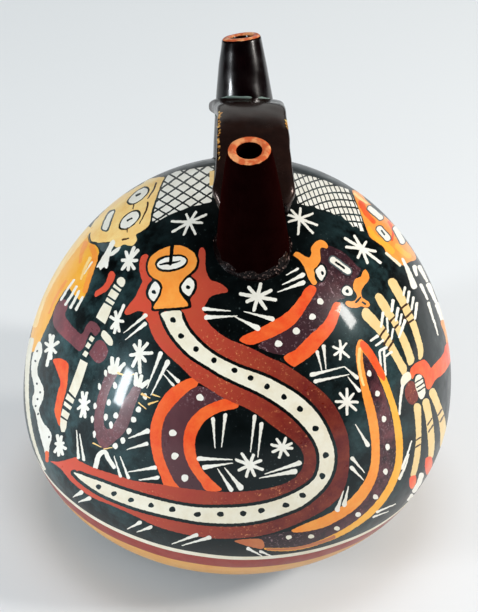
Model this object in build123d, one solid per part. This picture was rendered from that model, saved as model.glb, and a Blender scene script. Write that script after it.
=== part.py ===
from build123d import *
import os
from math import acos, asin, cos, degrees, hypot, radians, sin, sqrt

# Double spout bottle of hand-built clay. Millimetres, +Z up, origin under the
# middle of the flat that it stands on, front spout towards -Y.

# Chamber: two arcs above the widest circle and two below it, with one wall
widest_radius = 82.5
dome_rise = 91.2            # from the widest circle up to the crown
dome_turn = 40.63           # degrees of the shoulder's arc, before the crown's arc takes over
bowl_depth = 53.3           # from the widest circle down to where the base would close
bowl_turn = 78.72           # degrees of the bowl's side, before the underside takes over
resting_radius = 26.0       # flat that the bottle stands on
chamber_wall = 5.5
floor_wall = 6.0
bowl_lap = 7.0              # height of the sloping lap between shoulder and bowl
cap_margin = 22.7           # from a spout's foot out to the edge of the cap that closes the chamber
cap_lap = 8.0               # the lap under the cap runs this far inward

# Spouts
spout_spread = 33.3         # from the bottle's middle to each spout's foot
spout_line_shift = 2.3      # the spouts stand a little to one side of the middle
spout_length = 44.7
spout_tilt = 17.9           # degrees outward
spout_lean = 3.8            # degrees sideways, as the hand set them
mouth_radius = 7.15
spout_foot_radius = 12.4
mouth_bore_radius = 4.1
foot_bore_radius = 8.2
lip_round = 1.1
tenon_wall = 1.9            # ring of the spout that passes through the cap
tenon_reach = 2.4           # how far it stands out inside the chamber
slip_gap = 0.1              # film of slip round the tenon

# Bridge strap
strap_seat = 18.4           # up the spout from its foot to the strap's end
strap_cheek = 2.45          # the strap stops this far before the spout's middle
strap_rise = 14.0
strap_thickness = 6.0
strap_waist = 24.2
strap_flare_width = 28.0    # widest place, just before the ends
strap_tip_width = 23.0      # rounded ends that lie against the spouts
strap_edge_round = 2.8

# Luting clay
foot_lute_bead = 2.3
strap_lute_bead = 1.6


def oval_arcs(height, turn):
    """Radii of the arcs at the widest circle and on the axis, which meet smoothly at this turn."""
    step = (height - widest_radius) / (cos(radians(turn)) + sin(radians(turn)) - 1)
    return widest_radius + step * cos(radians(turn)), height - step * sin(radians(turn))


dome_bend, crown_radius = oval_arcs(dome_rise, dome_turn)
crown_centre = dome_rise - crown_radius
bowl_bend, base_radius = oval_arcs(bowl_depth, bowl_turn)
base_centre = base_radius - bowl_depth
cap_radius = spout_spread + cap_margin
widest_height = sqrt(base_radius ** 2 - resting_radius ** 2) - base_centre
tenon_radius = foot_bore_radius + tenon_wall
foot_drop = chamber_wall + tenon_reach


def dome_arc(depth, start, stop):
    """Arc of the shoulder, depth inside its outer face."""
    return CenterArc((widest_radius - dome_bend, 0), dome_bend - depth, start, stop - start)


def crown_arc(depth, start, stop):
    """Arc of the crown, depth inside its outer face."""
    return CenterArc((0, crown_centre), crown_radius - depth, start, stop - start)


def bowl_arc(depth, start, stop):
    """Arc of the bowl's side, depth inside its outer face."""
    return CenterArc((widest_radius - bowl_bend, 0), bowl_bend - depth, start, stop - start)


def base_arc(depth, start, stop):
    """Arc of the bowl's underside, depth inside its outer face."""
    return CenterArc((0, base_centre), base_radius - depth, start, stop - start)


def turned(outline):
    """Solid of revolution from a closed outline whose heights count from the widest circle."""
    with BuildSketch(Plane.XZ) as section:
        add(outline)
        make_face()
    return Pos(0, 0, widest_height) * revolve(section.sketch, Axis.Z, 360)


lap_angle = degrees(asin(bowl_lap / (dome_bend - chamber_wall)))
cap_angle = degrees(acos(cap_radius / crown_radius))
cap_inner_angle = degrees(acos((cap_radius - cap_lap) / (crown_radius - chamber_wall)))


def base_bowl():
    """Lower part of the chamber, whose rim runs up inside the shoulder at the lap."""
    rest_angle = degrees(asin(resting_radius / base_radius)) - 90
    floor_height = floor_wall - widest_height
    floor_angle = degrees(asin((floor_height - base_centre) / (base_radius - chamber_wall)))
    with BuildLine() as outline:
        under = base_arc(0, rest_angle, -bowl_turn)
        outside = bowl_arc(0, -bowl_turn, 0)
        rim = dome_arc(chamber_wall, 0, lap_angle)
        Line(outside @ 1, rim @ 1)
        bowl_arc(chamber_wall, -bowl_turn, 0)
        floor = base_arc(chamber_wall, floor_angle, -bowl_turn)
        Polyline(floor @ 0, (0, floor_height), (0, -widest_height), under @ 0)
    return turned(outline.line)


def shoulder_ring():
    """Middle course of the chamber, from the widest circle to the cap."""
    with BuildLine() as outline:
        outside = dome_arc(0, 0, dome_turn)
        top = crown_arc(0, dome_turn, cap_angle)
        inside = dome_arc(chamber_wall, lap_angle, dome_turn)
        edge = crown_arc(chamber_wall, dome_turn, cap_inner_angle)
        Line(top @ 1, edge @ 1)
        Line(inside @ 0, outside @ 0)
    return turned(outline.line)


def crown_cap():
    """Top of the chamber, pierced for the two spouts."""
    with BuildLine() as outline:
        outside = crown_arc(0, cap_angle, 90)
        inside = crown_arc(chamber_wall, cap_inner_angle, 90)
        Line(outside @ 1, inside @ 1)
        Line(inside @ 0, outside @ 0)
    return turned(outline.line) - spout_hole(-1) - spout_hole(1)


crown_middle = Vector(0, 0, widest_height + crown_centre)
foot_rise = sqrt(crown_radius ** 2 - hypot(spout_spread, spout_line_shift) ** 2)
crown_ball = Pos(crown_middle.X, crown_middle.Y, crown_middle.Z) * Sphere(crown_radius)


def spout_plane(side):
    """Frame of one spout: origin where its axis meets the crown, z along the axis."""
    tilt = radians(spout_tilt)
    lean = radians(spout_lean)
    along = Vector(-sin(lean), side * sin(tilt) * cos(lean), cos(tilt) * cos(lean))
    foot = crown_middle + Vector(spout_line_shift, side * spout_spread, foot_rise)
    return Plane(origin=foot, x_dir=(1, 0, 0), z_dir=along)


def spout_outside(side, extra=0.0):
    """Solid cone of a spout, run down past the crown's surface and thickened by extra."""
    taper = (spout_foot_radius - mouth_radius) / spout_length
    low = spout_foot_radius + taper * foot_drop + extra
    with BuildSketch(Plane.XZ) as section:
        with BuildLine():
            Polyline(
                (0, -foot_drop), (low, -foot_drop), (mouth_radius + extra, spout_length),
                (0, spout_length), (0, -foot_drop),
            )
        make_face()
        lip = section.vertices().sort_by(Axis.Y)[-2:].sort_by(Axis.X)[-1]
        fillet(lip, lip_round)
    return spout_plane(side) * revolve(section.sketch, Axis.Z, 360)


def spout_bore(side):
    """Bore that widens from the mouth down to the tenon and opens into the chamber."""
    end = -2 * foot_drop
    over = spout_length + lip_round
    with BuildSketch(Plane.XZ) as section:
        with BuildLine():
            Polyline(
                (0, end), (foot_bore_radius, end), (foot_bore_radius, 0),
                (mouth_bore_radius, spout_length - lip_round),
                (mouth_bore_radius + 2 * lip_round, over), (0, over), (0, end),
            )
        make_face()
    return spout_plane(side) * revolve(section.sketch, Axis.Z, 360)


def spout(side):
    """Tapered tube that sits on the crown, with a tenon through its hole."""
    tenon = Pos(0, 0, -foot_drop) * Cylinder(
        tenon_radius, foot_drop + strap_seat / 2, align=(Align.CENTER, Align.CENTER, Align.MIN)
    )
    standing = spout_outside(side) - crown_ball
    return standing + spout_plane(side) * tenon - spout_bore(side)


def spout_hole(side):
    """Hole pierced in the cap for one spout's tenon."""
    return spout_plane(side) * Cylinder(tenon_radius + slip_gap, 4 * foot_drop)


def foot_lute(side):
    """Bead of clay pressed into the corner between spout and crown."""
    foot = spout_plane(side).origin
    around = Plane(origin=foot, x_dir=(1, 0, 0), z_dir=foot - crown_middle)
    sag = spout_foot_radius ** 2 / (2 * crown_radius)
    ring = Pos(0, 0, -sag) * Torus(spout_foot_radius - slip_gap, foot_lute_bead)
    return around * ring - crown_ball - spout_outside(side)


def strap_seat_point(side):
    """Point of a spout's axis at the height of the strap's end."""
    place = spout_plane(side)
    return place.origin + place.z_dir * strap_seat


seat = strap_seat_point(1)
strap_half_span = seat.Y - strap_cheek
strap_bend = (strap_half_span ** 2 + strap_rise ** 2) / (2 * strap_rise)
strap_centre = Vector(seat.X, 0, seat.Z + strap_rise - strap_bend)
strap_half_angle = degrees(asin(strap_half_span / strap_bend))


def strap_body(extra=0.0, longer=0.0):
    """Arched strap through rounded sections, waisted in the middle, grown by extra."""
    quarter_width = strap_waist + (strap_flare_width - strap_waist) / 4
    half = ((1, strap_tip_width), (0.86, strap_flare_width), (0.43, quarter_width))
    stations = [(-step, width) for step, width in half] + [(0, strap_waist)]
    stations += [(step, width) for step, width in reversed(half)]
    sections = []
    for step, width in stations:
        angle = radians(step * (strap_half_angle + longer))
        middle = strap_centre + Vector(0, sin(angle), cos(angle)) * strap_bend
        across = Plane(origin=middle, x_dir=(1, 0, 0), z_dir=(0, cos(angle), -sin(angle)))
        outline = RectangleRounded(width + 2 * extra, strap_thickness + 2 * extra, strap_edge_round)
        sections.append(across * outline)
    return loft(sections)


def strap_lute(side, strap):
    """Bead of clay round one end of the strap, where it is pressed to the spout."""
    wrap_angle = degrees(strap_lute_bead / strap_bend)
    near_strap = strap_body(strap_lute_bead, wrap_angle)
    near_spout = spout_outside(side, strap_lute_bead)
    return (near_strap & near_spout) - spout_outside(side) - strap


strap = strap_body() - spout_outside(-1) - spout_outside(1)
nodes = {
    "base_bowl": base_bowl(),
    "shoulder_ring": shoulder_ring(),
    "crown_cap": crown_cap(),
    "bridge_strap": strap,
}
for name, side in (("front", -1), ("rear", 1)):
    nodes[f"{name}_spout"] = spout(side)
    nodes[f"{name}_spout_lute"] = foot_lute(side)
    nodes[f"{name}_bridge_lute"] = strap_lute(side, strap)

os.makedirs("parts", exist_ok=True)
for name, shape in nodes.items():
    export_step(shape, f"parts/{name}.step")
    print(name, "solids", len(shape.solids()), "volume", round(shape.volume))
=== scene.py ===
"""Looks of a double spout bottle: a burnished clay chamber painted with slips, two dark spouts
and the strap bridge between them. Sizes are in millimetres until a mesh is made."""

import math

import bpy
import numpy as np
from mathutils import Matrix, Vector
from mathutils.geometry import delaunay_2d_cdt


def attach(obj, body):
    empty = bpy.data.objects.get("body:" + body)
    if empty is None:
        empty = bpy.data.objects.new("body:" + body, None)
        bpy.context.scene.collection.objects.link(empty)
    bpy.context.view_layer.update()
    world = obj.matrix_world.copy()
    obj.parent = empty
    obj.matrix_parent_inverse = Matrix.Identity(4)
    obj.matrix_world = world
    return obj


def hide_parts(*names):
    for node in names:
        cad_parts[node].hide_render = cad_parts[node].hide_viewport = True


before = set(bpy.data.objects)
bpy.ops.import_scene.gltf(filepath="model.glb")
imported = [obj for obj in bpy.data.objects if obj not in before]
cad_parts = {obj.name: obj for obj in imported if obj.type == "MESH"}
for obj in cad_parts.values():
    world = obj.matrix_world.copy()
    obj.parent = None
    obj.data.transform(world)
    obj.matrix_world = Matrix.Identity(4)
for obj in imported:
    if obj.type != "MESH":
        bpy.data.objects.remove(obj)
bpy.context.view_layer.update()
MM = 0.001

# Sizes shared with the CAD part
widest_radius = 82.5
dome_rise = 91.2
dome_turn = math.radians(40.63)
bowl_depth = 53.3
bowl_turn = math.radians(78.72)
resting_radius = 26.0
chamber_wall = 5.5
cap_radius = 56.0
spout_spread = 33.3
spout_line_shift = 2.3
spout_length = 44.7
spout_tilt = 17.9
spout_lean = 3.8
mouth_radius = 7.15
spout_foot_radius = 12.4
mouth_bore_radius = 4.1
foot_bore_radius = 8.2
lip_round = 1.1
tenon_radius = 10.1
strap_seat = 18.4
strap_cheek = 2.45
strap_rise = 14.0
strap_thickness = 6.0
strap_waist = 24.2
strap_flare_width = 28.0
strap_tip_width = 23.0

# The potter's hand: the chamber leans a little to the right as it rises
chamber_lean = 0.0263


def oval_arcs(height, turn):
    """Radii of the arcs at the widest circle and on the axis, which meet smoothly at this turn."""
    step = (height - widest_radius) / (math.cos(turn) + math.sin(turn) - 1)
    return widest_radius + step * math.cos(turn), height - step * math.sin(turn)


dome_bend, crown_radius = oval_arcs(dome_rise, dome_turn)
crown_centre = dome_rise - crown_radius
bowl_bend, base_radius = oval_arcs(bowl_depth, bowl_turn)
base_centre = base_radius - bowl_depth
widest_height = math.sqrt(base_radius**2 - resting_radius**2) - base_centre

# Lengths along the wall, counted from the crown
turn_reach = crown_radius * (math.pi / 2 - dome_turn)
widest_reach = turn_reach + dome_bend * dome_turn
bowl_reach = widest_reach + bowl_bend * bowl_turn
rest_turn = math.pi / 2 - bowl_turn - math.asin(resting_radius / base_radius)
rest_reach = bowl_reach + base_radius * rest_turn
cap_reach = crown_radius * math.asin(cap_radius / crown_radius)


# The chamber's surface. Points are rows of x, y, z with z counted from the widest circle.
# A place on it is reach (length along the wall from the crown) times the direction in plan.


def off_wall(points):
    """Distance of each point outside the wall, and its place on the wall."""
    z = points[:, 2]
    x = points[:, 0] - chamber_lean * z
    y = points[:, 1]
    radius = np.hypot(x, y)
    dome_angle = np.arctan2(z, radius - (widest_radius - dome_bend))
    crown_angle = np.arctan2(z - crown_centre, radius)
    bowl_angle = np.arctan2(-z, radius - (widest_radius - bowl_bend))
    base_angle = np.arctan2(base_centre - z, radius)
    where = [(z >= 0) & (dome_angle > dome_turn), z >= 0, (z < 0) & (bowl_angle < bowl_turn), z < 0]
    distance = np.select(where, [
        np.hypot(radius, z - crown_centre) - crown_radius,
        np.hypot(radius - widest_radius + dome_bend, z) - dome_bend,
        np.hypot(radius - widest_radius + bowl_bend, z) - bowl_bend,
        np.hypot(radius, z - base_centre) - base_radius,
    ])
    reach = np.select(where, [
        crown_radius * (math.pi / 2 - crown_angle),
        widest_reach - dome_bend * dome_angle,
        widest_reach + bowl_bend * bowl_angle,
        bowl_reach + base_radius * (base_angle - bowl_turn),
    ])
    direction = np.arctan2(y, x)
    return distance, np.stack([reach * np.cos(direction), reach * np.sin(direction)], axis=1)


def on_wall(places):
    """Points of the wall at the given places, and the outward normals there."""
    reach = np.hypot(places[:, 0], places[:, 1])
    direction = np.arctan2(places[:, 1], places[:, 0])
    crown_angle = math.pi / 2 - reach / crown_radius
    dome_angle = (widest_reach - reach) / dome_bend
    bowl_angle = (reach - widest_reach) / bowl_bend
    base_angle = bowl_turn + (reach - bowl_reach) / base_radius
    where = [reach < turn_reach, reach < widest_reach, reach < bowl_reach, reach >= bowl_reach]
    radius = np.select(where, [
        crown_radius * np.cos(crown_angle),
        widest_radius - dome_bend + dome_bend * np.cos(dome_angle),
        widest_radius - bowl_bend + bowl_bend * np.cos(bowl_angle),
        base_radius * np.cos(base_angle),
    ])
    z = np.select(where, [
        crown_centre + crown_radius * np.sin(crown_angle),
        dome_bend * np.sin(dome_angle),
        -bowl_bend * np.sin(bowl_angle),
        base_centre - base_radius * np.sin(base_angle),
    ])
    rise = np.select(where, [crown_angle, dome_angle, -bowl_angle, -base_angle])
    x = radius * np.cos(direction) + chamber_lean * z
    points = np.stack([x, radius * np.sin(direction), z], axis=1)
    flat = np.cos(rise)
    normals = np.stack([flat * np.cos(direction), flat * np.sin(direction), np.sin(rise)], axis=1)
    normals[:, 2] -= chamber_lean * normals[:, 0]
    return points, normals / np.linalg.norm(normals, axis=1)[:, None]


# The photo's camera, found from the bottle's outline: lengths in its pixels, and where it stood
photo_width = 478
photo_height = 612
focal_pixels = 1476.6
picture_shift = 0.49
eye_distance = 577.5
eye_rise = math.radians(35.79)
eye_pitch = math.radians(32.66)
eye_roll = math.radians(1.97)
eye_turn = math.radians(-2.6)

turn = np.array(Matrix.Rotation(eye_turn, 3, "Z"))
eye = turn @ np.array([0, -eye_distance * math.cos(eye_rise), eye_distance * math.sin(eye_rise)])
look = turn @ np.array([0, math.cos(eye_pitch), -math.sin(eye_pitch)])
level = turn @ np.array([1.0, 0, 0])
upright = np.cross(level, look)
eye_right = level * math.cos(eye_roll) + upright * math.sin(eye_roll)
eye_up = upright * math.cos(eye_roll) - level * math.sin(eye_roll)

# A ray starts just short of the bottle and walks most of the way to the wall at each of its steps
ray_start = eye_distance - 1.6 * widest_radius
ray_steps = 160
ray_stride = 0.9


def onto_pot(pixels):
    """Places on the wall that the photo shows at these pixels, or nearest to them past the outline."""
    across = pixels[:, 0] - photo_width / 2 - picture_shift
    down = pixels[:, 1] - photo_height / 2
    rays = focal_pixels * look + across[:, None] * eye_right - down[:, None] * eye_up
    rays /= np.linalg.norm(rays, axis=1)[:, None]
    reach = np.full(len(pixels), ray_start)
    nearest = np.full(len(pixels), np.inf)
    best = reach.copy()
    for step in range(ray_steps):
        distance = off_wall(eye + rays * reach[:, None])[0]
        closer = distance < nearest
        nearest = np.where(closer, distance, nearest)
        best = np.where(closer, reach, best)
        reach = reach + np.maximum(distance * ray_stride, 0.0)
    return off_wall(eye + rays * best[:, None])[1]


# Materials. The size of a noise is the size of its spots in millimetres.


def colour(text):
    """Scene colour of an sRGB hex code."""
    parts = [int(text[i : i + 2], 16) / 255 for i in (1, 3, 5)]
    return [
        part / 12.92 if part <= 0.04045 else ((part + 0.055) / 1.055) ** 2.4 for part in parts
    ] + [1.0]


def node(tree, kind, inputs=(), **settings):
    """Adds a shader node with its settings, values and links, and gives back its outputs."""
    made = tree.nodes.new(kind)
    for name, value in settings.items():
        setattr(made, name, value)
    for name, value in dict(inputs).items():
        if isinstance(value, bpy.types.NodeSocket):
            tree.links.new(value, made.inputs[name])
        else:
            made.inputs[name].default_value = value
    return made.outputs


def spots(tree, where, size, low, high, detail=3.0, rough=0.5):
    """Spots of this size: a noise spread from 0 to 1 between two of its levels."""
    sizes = {"Vector": where, "Scale": 1 / (size * MM), "Detail": detail, "Roughness": rough}
    levels = {"Value": node(tree, "ShaderNodeTexNoise", sizes)["Fac"], "From Min": low, "From Max": high}
    return node(tree, "ShaderNodeMapRange", levels)["Result"]


def clay_slip(
    name, main, thin, fleck, shine, gloss=0.25, flecks=0.68, lift=0.02, left=None, painted_sheen=None,
    tint="#ffffff", burnish=0.25, worn=None, edge=None, painted_reflection=None,
):
    """Burnished slip: mottled where the brush left it thin, worn in small flecks, with a soft shine.

    left is the lighter colour that the slip is mixed towards on the bottle's upper left: painted light
    where the lamps there light it more, and for the red also a thinner slip. painted_sheen is the
    colour of a painted sheen in clouds on its two sides, which thin out at the right edge,
    painted_reflection that of a painted reflection of the pale floor low on the right, worn the two
    clays that its wear bares, and edge a tint where the surface turns away.
    """
    made = bpy.data.materials.new(name)
    made.use_nodes = True
    tree = made.node_tree
    shader = tree.nodes["Principled BSDF"]
    where = node(tree, "ShaderNodeTexCoord")["Object"]
    main, thin = colour(main), colour(thin)
    if left:
        # Painted light: mixed towards the lighter colour on the upper left, where the lamps light it more
        leftward = {0: where, 1: (-1, 0, 0.35)}
        along = node(tree, "ShaderNodeVectorMath", leftward, operation="DOT_PRODUCT")["Value"]
        span = {"Value": along, "From Min": 10 * MM, "From Max": 100 * MM}
        turned = node(tree, "ShaderNodeMapRange", span)["Result"]
        main = node(tree, "ShaderNodeMix", {0: turned, 6: main, 7: colour(left)}, data_type="RGBA")[2]
        thin = node(tree, "ShaderNodeMix", {0: 0.38, 6: main, 7: thin}, data_type="RGBA")[2]
    blotch = spots(tree, where, 7, 0.38, 0.72, 9, 0.72)
    body = node(tree, "ShaderNodeMix", {0: blotch, 6: main, 7: thin}, data_type="RGBA")[2]
    if painted_sheen:
        # Painted sheen: blue-green clouds on the bottle's two sides, thinning out at its right edge
        across = node(tree, "ShaderNodeSeparateXYZ", {0: where})["X"]
        aside = node(tree, "ShaderNodeMath", {0: across}, operation="ABSOLUTE")[0]
        span = {"Value": aside, "From Min": 18 * MM, "From Max": 64 * MM}
        sides = node(tree, "ShaderNodeMapRange", span)["Result"]
        span = {"Value": across, "From Min": 48 * MM, "From Max": 64 * MM, "To Min": 1.0, "To Max": 0.12}
        ends = node(tree, "ShaderNodeMapRange", span)["Result"]
        sides = node(tree, "ShaderNodeMath", {0: sides, 1: ends}, operation="MULTIPLY")[0]
        cloud = spots(tree, where, 11, 0.43, 0.66, 10, 0.74)
        clouded = node(tree, "ShaderNodeMath", {0: cloud, 1: sides}, operation="MULTIPLY")[0]
        body = node(tree, "ShaderNodeMix", {0: clouded, 6: body, 7: colour(painted_sheen)}, data_type="RGBA")[2]
    if painted_reflection:
        # Painted reflection of the pale floor, growing towards the lower right
        low_right = {0: where, 1: (1, 0, -1.4)}
        below = node(tree, "ShaderNodeVectorMath", low_right, operation="DOT_PRODUCT")["Value"]
        span = {"Value": below, "From Min": 5 * MM, "From Max": 40 * MM, "To Max": 0.4}
        reached = node(tree, "ShaderNodeMapRange", span)["Result"]
        body = node(tree, "ShaderNodeMix", {0: reached, 6: body, 7: colour(painted_reflection)}, data_type="RGBA")[2]
    tired = spots(tree, where, 26, 0.44, 0.66, 4)
    speck = spots(tree, where, 0.9, flecks, flecks + 0.08, 5, 0.6)
    rubbed = node(tree, "ShaderNodeMath", {0: speck, 1: tired}, operation="MULTIPLY")[0]
    body = node(tree, "ShaderNodeMix", {0: rubbed, 6: body, 7: colour(fleck)}, data_type="RGBA")[2]
    if worn:
        wear = node(tree, "ShaderNodeAttribute", attribute_name="wear")["Fac"]
        frayed = spots(tree, where, 1.4, 0.3, 0.7)
        ragged = node(tree, "ShaderNodeMath", {0: frayed, 1: 0.4, 2: wear}, operation="MULTIPLY_ADD")[0]
        span = {"Value": ragged, "From Min": 0.66, "From Max": 0.76}
        bare = node(tree, "ShaderNodeMapRange", span)["Result"]
        patches = spots(tree, where, 3.2, 0.46, 0.6, 5)
        clays = {0: patches, 6: colour(worn[0]), 7: colour(worn[1])}
        clay = node(tree, "ShaderNodeMix", clays, data_type="RGBA")[2]
        body = node(tree, "ShaderNodeMix", {0: bare, 6: body, 7: clay}, data_type="RGBA")[2]
    tree.links.new(body, shader.inputs["Base Color"])
    patchy = spots(tree, where, 5, 0.3, 0.7)
    rough = node(tree, "ShaderNodeMapRange", {"Value": patchy, "To Min": shine, "To Max": shine + 0.12})
    tree.links.new(rough["Result"], shader.inputs["Roughness"])
    grain = node(tree, "ShaderNodeTexNoise", {"Vector": where, "Scale": 1 / (0.9 * MM), "Detail": 3.0})
    bump = node(tree, "ShaderNodeBump", {"Height": grain["Fac"], "Strength": 0.5, "Distance": lift * MM})
    tree.links.new(bump["Normal"], shader.inputs["Normal"])
    shader.inputs["IOR"].default_value = 1.5
    shader.inputs["Specular IOR Level"].default_value = gloss
    shader.inputs["Specular Tint"].default_value = colour(tint)
    shader.inputs["Coat Weight"].default_value = burnish
    shader.inputs["Coat Roughness"].default_value = 0.07
    if edge:
        shader.inputs["Sheen Weight"].default_value = 0.12
        shader.inputs["Sheen Tint"].default_value = colour(edge)
    return made


paints = {
    # Burnished black ground: a deep dark with painted sheen in blue-green clouds on both sides, and shine
    "black_slip": clay_slip(
        "black_slip", "#030404", "#0a0f10", "#5c6a69", 0.28, 0.26, 0.64, painted_sheen="#385457", tint="#b4dde4"
    ),
    # Chalk white slip: the brightest marks, almost matt
    "white_slip": clay_slip("white_slip", "#e9e7df", "#dcd7c9", "#a89c88", 0.34),
    # Warmer white of the large fields
    "cream_slip": clay_slip("cream_slip", "#e6e1d0", "#d8cdb2", "#ab8a62", 0.34),
    # Iron red: dark on the right and below, bright on the upper left, partly where the slip is thin and
    # partly painted light
    "red_slip": clay_slip("red_slip", "#5a1213", "#a8502e", "#d08458", 0.26, flecks=0.6, left="#e0553e"),
    # Dull dark red of the band round the foot, with a painted reflection of the floor low on the right
    "maroon_slip": clay_slip("maroon_slip", "#861f1a", "#98382a", "#a2604a", 0.3, painted_reflection="#7d857c"),
    # Red-orange, rust, orange and yellow iron slips of edges, faces and darts
    "red_orange_slip": clay_slip("red_orange_slip", "#e0481d", "#ea7033", "#93361d", 0.28),
    "rust_slip": clay_slip("rust_slip", "#b5623a", "#c27a4c", "#7c4426", 0.28),
    "orange_slip": clay_slip("orange_slip", "#ea8a33", "#eea24a", "#b05c26", 0.28),
    "yellow_slip": clay_slip("yellow_slip", "#eca329", "#eeb34c", "#a96a26", 0.28),
    "ochre_slip": clay_slip("ochre_slip", "#f2d28c", "#ecb868", "#bf8240", 0.3),
    "straw_slip": clay_slip("straw_slip", "#dfc68e", "#dcba7c", "#c29a58", 0.3),
    # Purple-brown of the serpents' bodies, speckled where the ground shows through, with painted light on
    # the left and painted sheen in clouds on both sides
    "purple_slip": clay_slip(
        "purple_slip", "#24131a", "#3c222a", "#94787e", 0.26, flecks=0.57, left="#70444a", painted_sheen="#8a4c52"
    ),
    # Grey and brown of the fine lines round eyes and bindings
    "slate_slip": clay_slip("slate_slip", "#3a4648", "#566467", "#7c8887", 0.28),
    "umber_slip": clay_slip("umber_slip", "#321b10", "#482817", "#7a4b2e", 0.28),
    # Yellow-brown wash below the band, with a painted reflection of the floor low on the right, and the
    # greyish clay of the underside
    "tan_slip": clay_slip("tan_slip", "#dba55c", "#d0924c", "#a87444", 0.4, painted_reflection="#a3ab9f"),
    "base_slip": clay_slip("base_slip", "#a19d97", "#8f8a83", "#7c7268", 0.5, burnish=0.0),
    # Bare fired clay inside: red-brown and matt, and last, because the wall's thickness takes the last
    "bare_clay": clay_slip("bare_clay", "#a8643e", "#9a5836", "#7d4629", 0.6, burnish=0.0),
}
# Spouts and bridge: brown-black slip, dull in front and glossy behind, worn to orange clay at the
# lips and to tan clay at the bridge's edges
lip_clays = ("#c05c36", "#dc9462")
bridge_clays = ("#b9803f", "#e0bd72")
front_slip = clay_slip(
    "front_spout_slip", "#050101", "#0d0303", "#38201e", 0.2, 0.0, burnish=0.0, worn=lip_clays,
    edge="#7a2620",
)
rear_slip = clay_slip(
    "rear_spout_slip", "#050102", "#0e0405", "#38201e", 0.15, 0.7, burnish=0.0, worn=lip_clays
)
bridge_slip = clay_slip(
    "bridge_slip", "#180e0c", "#261713", "#4a3832", 0.16, 0.4, tint="#ffe4da", burnish=0.0,
    worn=bridge_clays,
)
# Luting clay under the same slip: rough from the fingers that pressed it on, so it glints in streaks; its
# pale pinkish flecks are painted glints too
lute_slip = clay_slip(
    "lute_slip", "#060202", "#100606", "#b8988f", 0.22, 0.1, 0.58, lift=0.3, burnish=0.0
)
# The lute behind the bridge is painted pale grey-green: a painted highlight where its ridge catches the
# light
painted_highlight_lute_slip = clay_slip("painted_highlight_lute_slip", "#7c8d86", "#5c6b65", "#c2c8b8", 0.3, burnish=0.0)


# Slip painting. Every shape is drawn with the photo's pixels, in the painter's order, and then
# laid onto the wall. A coat is a slip's name and a closed outline.

coats = []
stroke_step = 1.6
thinnest_stroke = 0.5
dab_points = 14


def through(points, closed=False):
    """Smooth curve through the points, closed or with free ends."""
    points = np.array(points, float)
    if closed:
        points = np.vstack([points[-1:], points, points[:2]])
    else:
        points = np.vstack([2 * points[0] - points[1], points, 2 * points[-1] - points[-2]])
    curve = []
    for before, start, stop, after in zip(points, points[1:], points[2:], points[3:]):
        steps = max(2, int(np.linalg.norm((stop - start)[:2]) / stroke_step))
        for t in np.arange(steps)[:, None] / steps:
            curve.append(
                start + t * (stop - before) / 2 + t**2 * (before - 2.5 * start + 2 * stop - after / 2)
                + t**3 * (1.5 * (start - stop) + (after - before) / 2)
            )
    if not closed:
        curve.append(points[-2])
    return np.array(curve)


def patch(slip, *points):
    """Filled shape with a smooth outline."""
    coats.append((slip, through(points, closed=True)))


def cut_patch(slip, *points):
    """Filled shape with straight sides."""
    coats.append((slip, np.array(points, float)))


def stroke(slip, width, *points, end=None):
    """Brush stroke with rounded ends, whose width may change from its first point to its last."""
    widths = np.linspace(width, width if end is None else end, len(points))
    line = through([(x, y, w) for (x, y), w in zip(points, widths)])
    along = np.gradient(line[:, :2], axis=0)
    along /= np.linalg.norm(along, axis=1)[:, None]
    aside = along[:, ::-1] * (1, -1) * np.maximum(line[:, 2:], thinnest_stroke) / 2
    angles = np.linspace(0, math.pi, 7)[1:-1, None]
    first_cap = aside[0] * np.cos(angles) + along[0] * np.linalg.norm(aside[0]) * np.sin(angles)
    last_cap = aside[-1] * np.cos(angles) + along[-1] * np.linalg.norm(aside[-1]) * np.sin(angles)
    line = line[:, :2]
    outline = [line + aside, line[-1] + last_cap, (line - aside)[::-1], line[0] - first_cap]
    coats.append((slip, np.vstack(outline)))


def dots(slip, width, height, *centres):
    """Oval dabs of a full brush."""
    angles = np.linspace(0, 2 * math.pi, dab_points, endpoint=False)
    for number, (x, y) in enumerate(centres):
        dab = 1 + 0.06 * np.sin(2 * angles + 1.7 * number) + 0.04 * np.sin(3 * angles + number)
        across = x + width / 2 * dab * np.cos(angles)
        down = y + height / 2 * dab * np.sin(angles)
        coats.append((slip, np.stack([across, down], axis=1)))


def dash(slip, width, thick, thin):
    """Tapered stroke: a thick end that is lifted to a point."""
    (x0, y0), (x1, y1) = thick, thin
    stroke(slip, width, (x0, y0), ((2 * x0 + x1) / 3, (2 * y0 + y1) / 3), (x1, y1), end=0.9)


def star(width, centre, *tips):
    """Star of short white strokes that cross in the middle."""
    for tip in tips:
        stroke("white_slip", width * 0.85, centre, tip, end=width * 0.75)


# Left figure: net headdress and face

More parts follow.
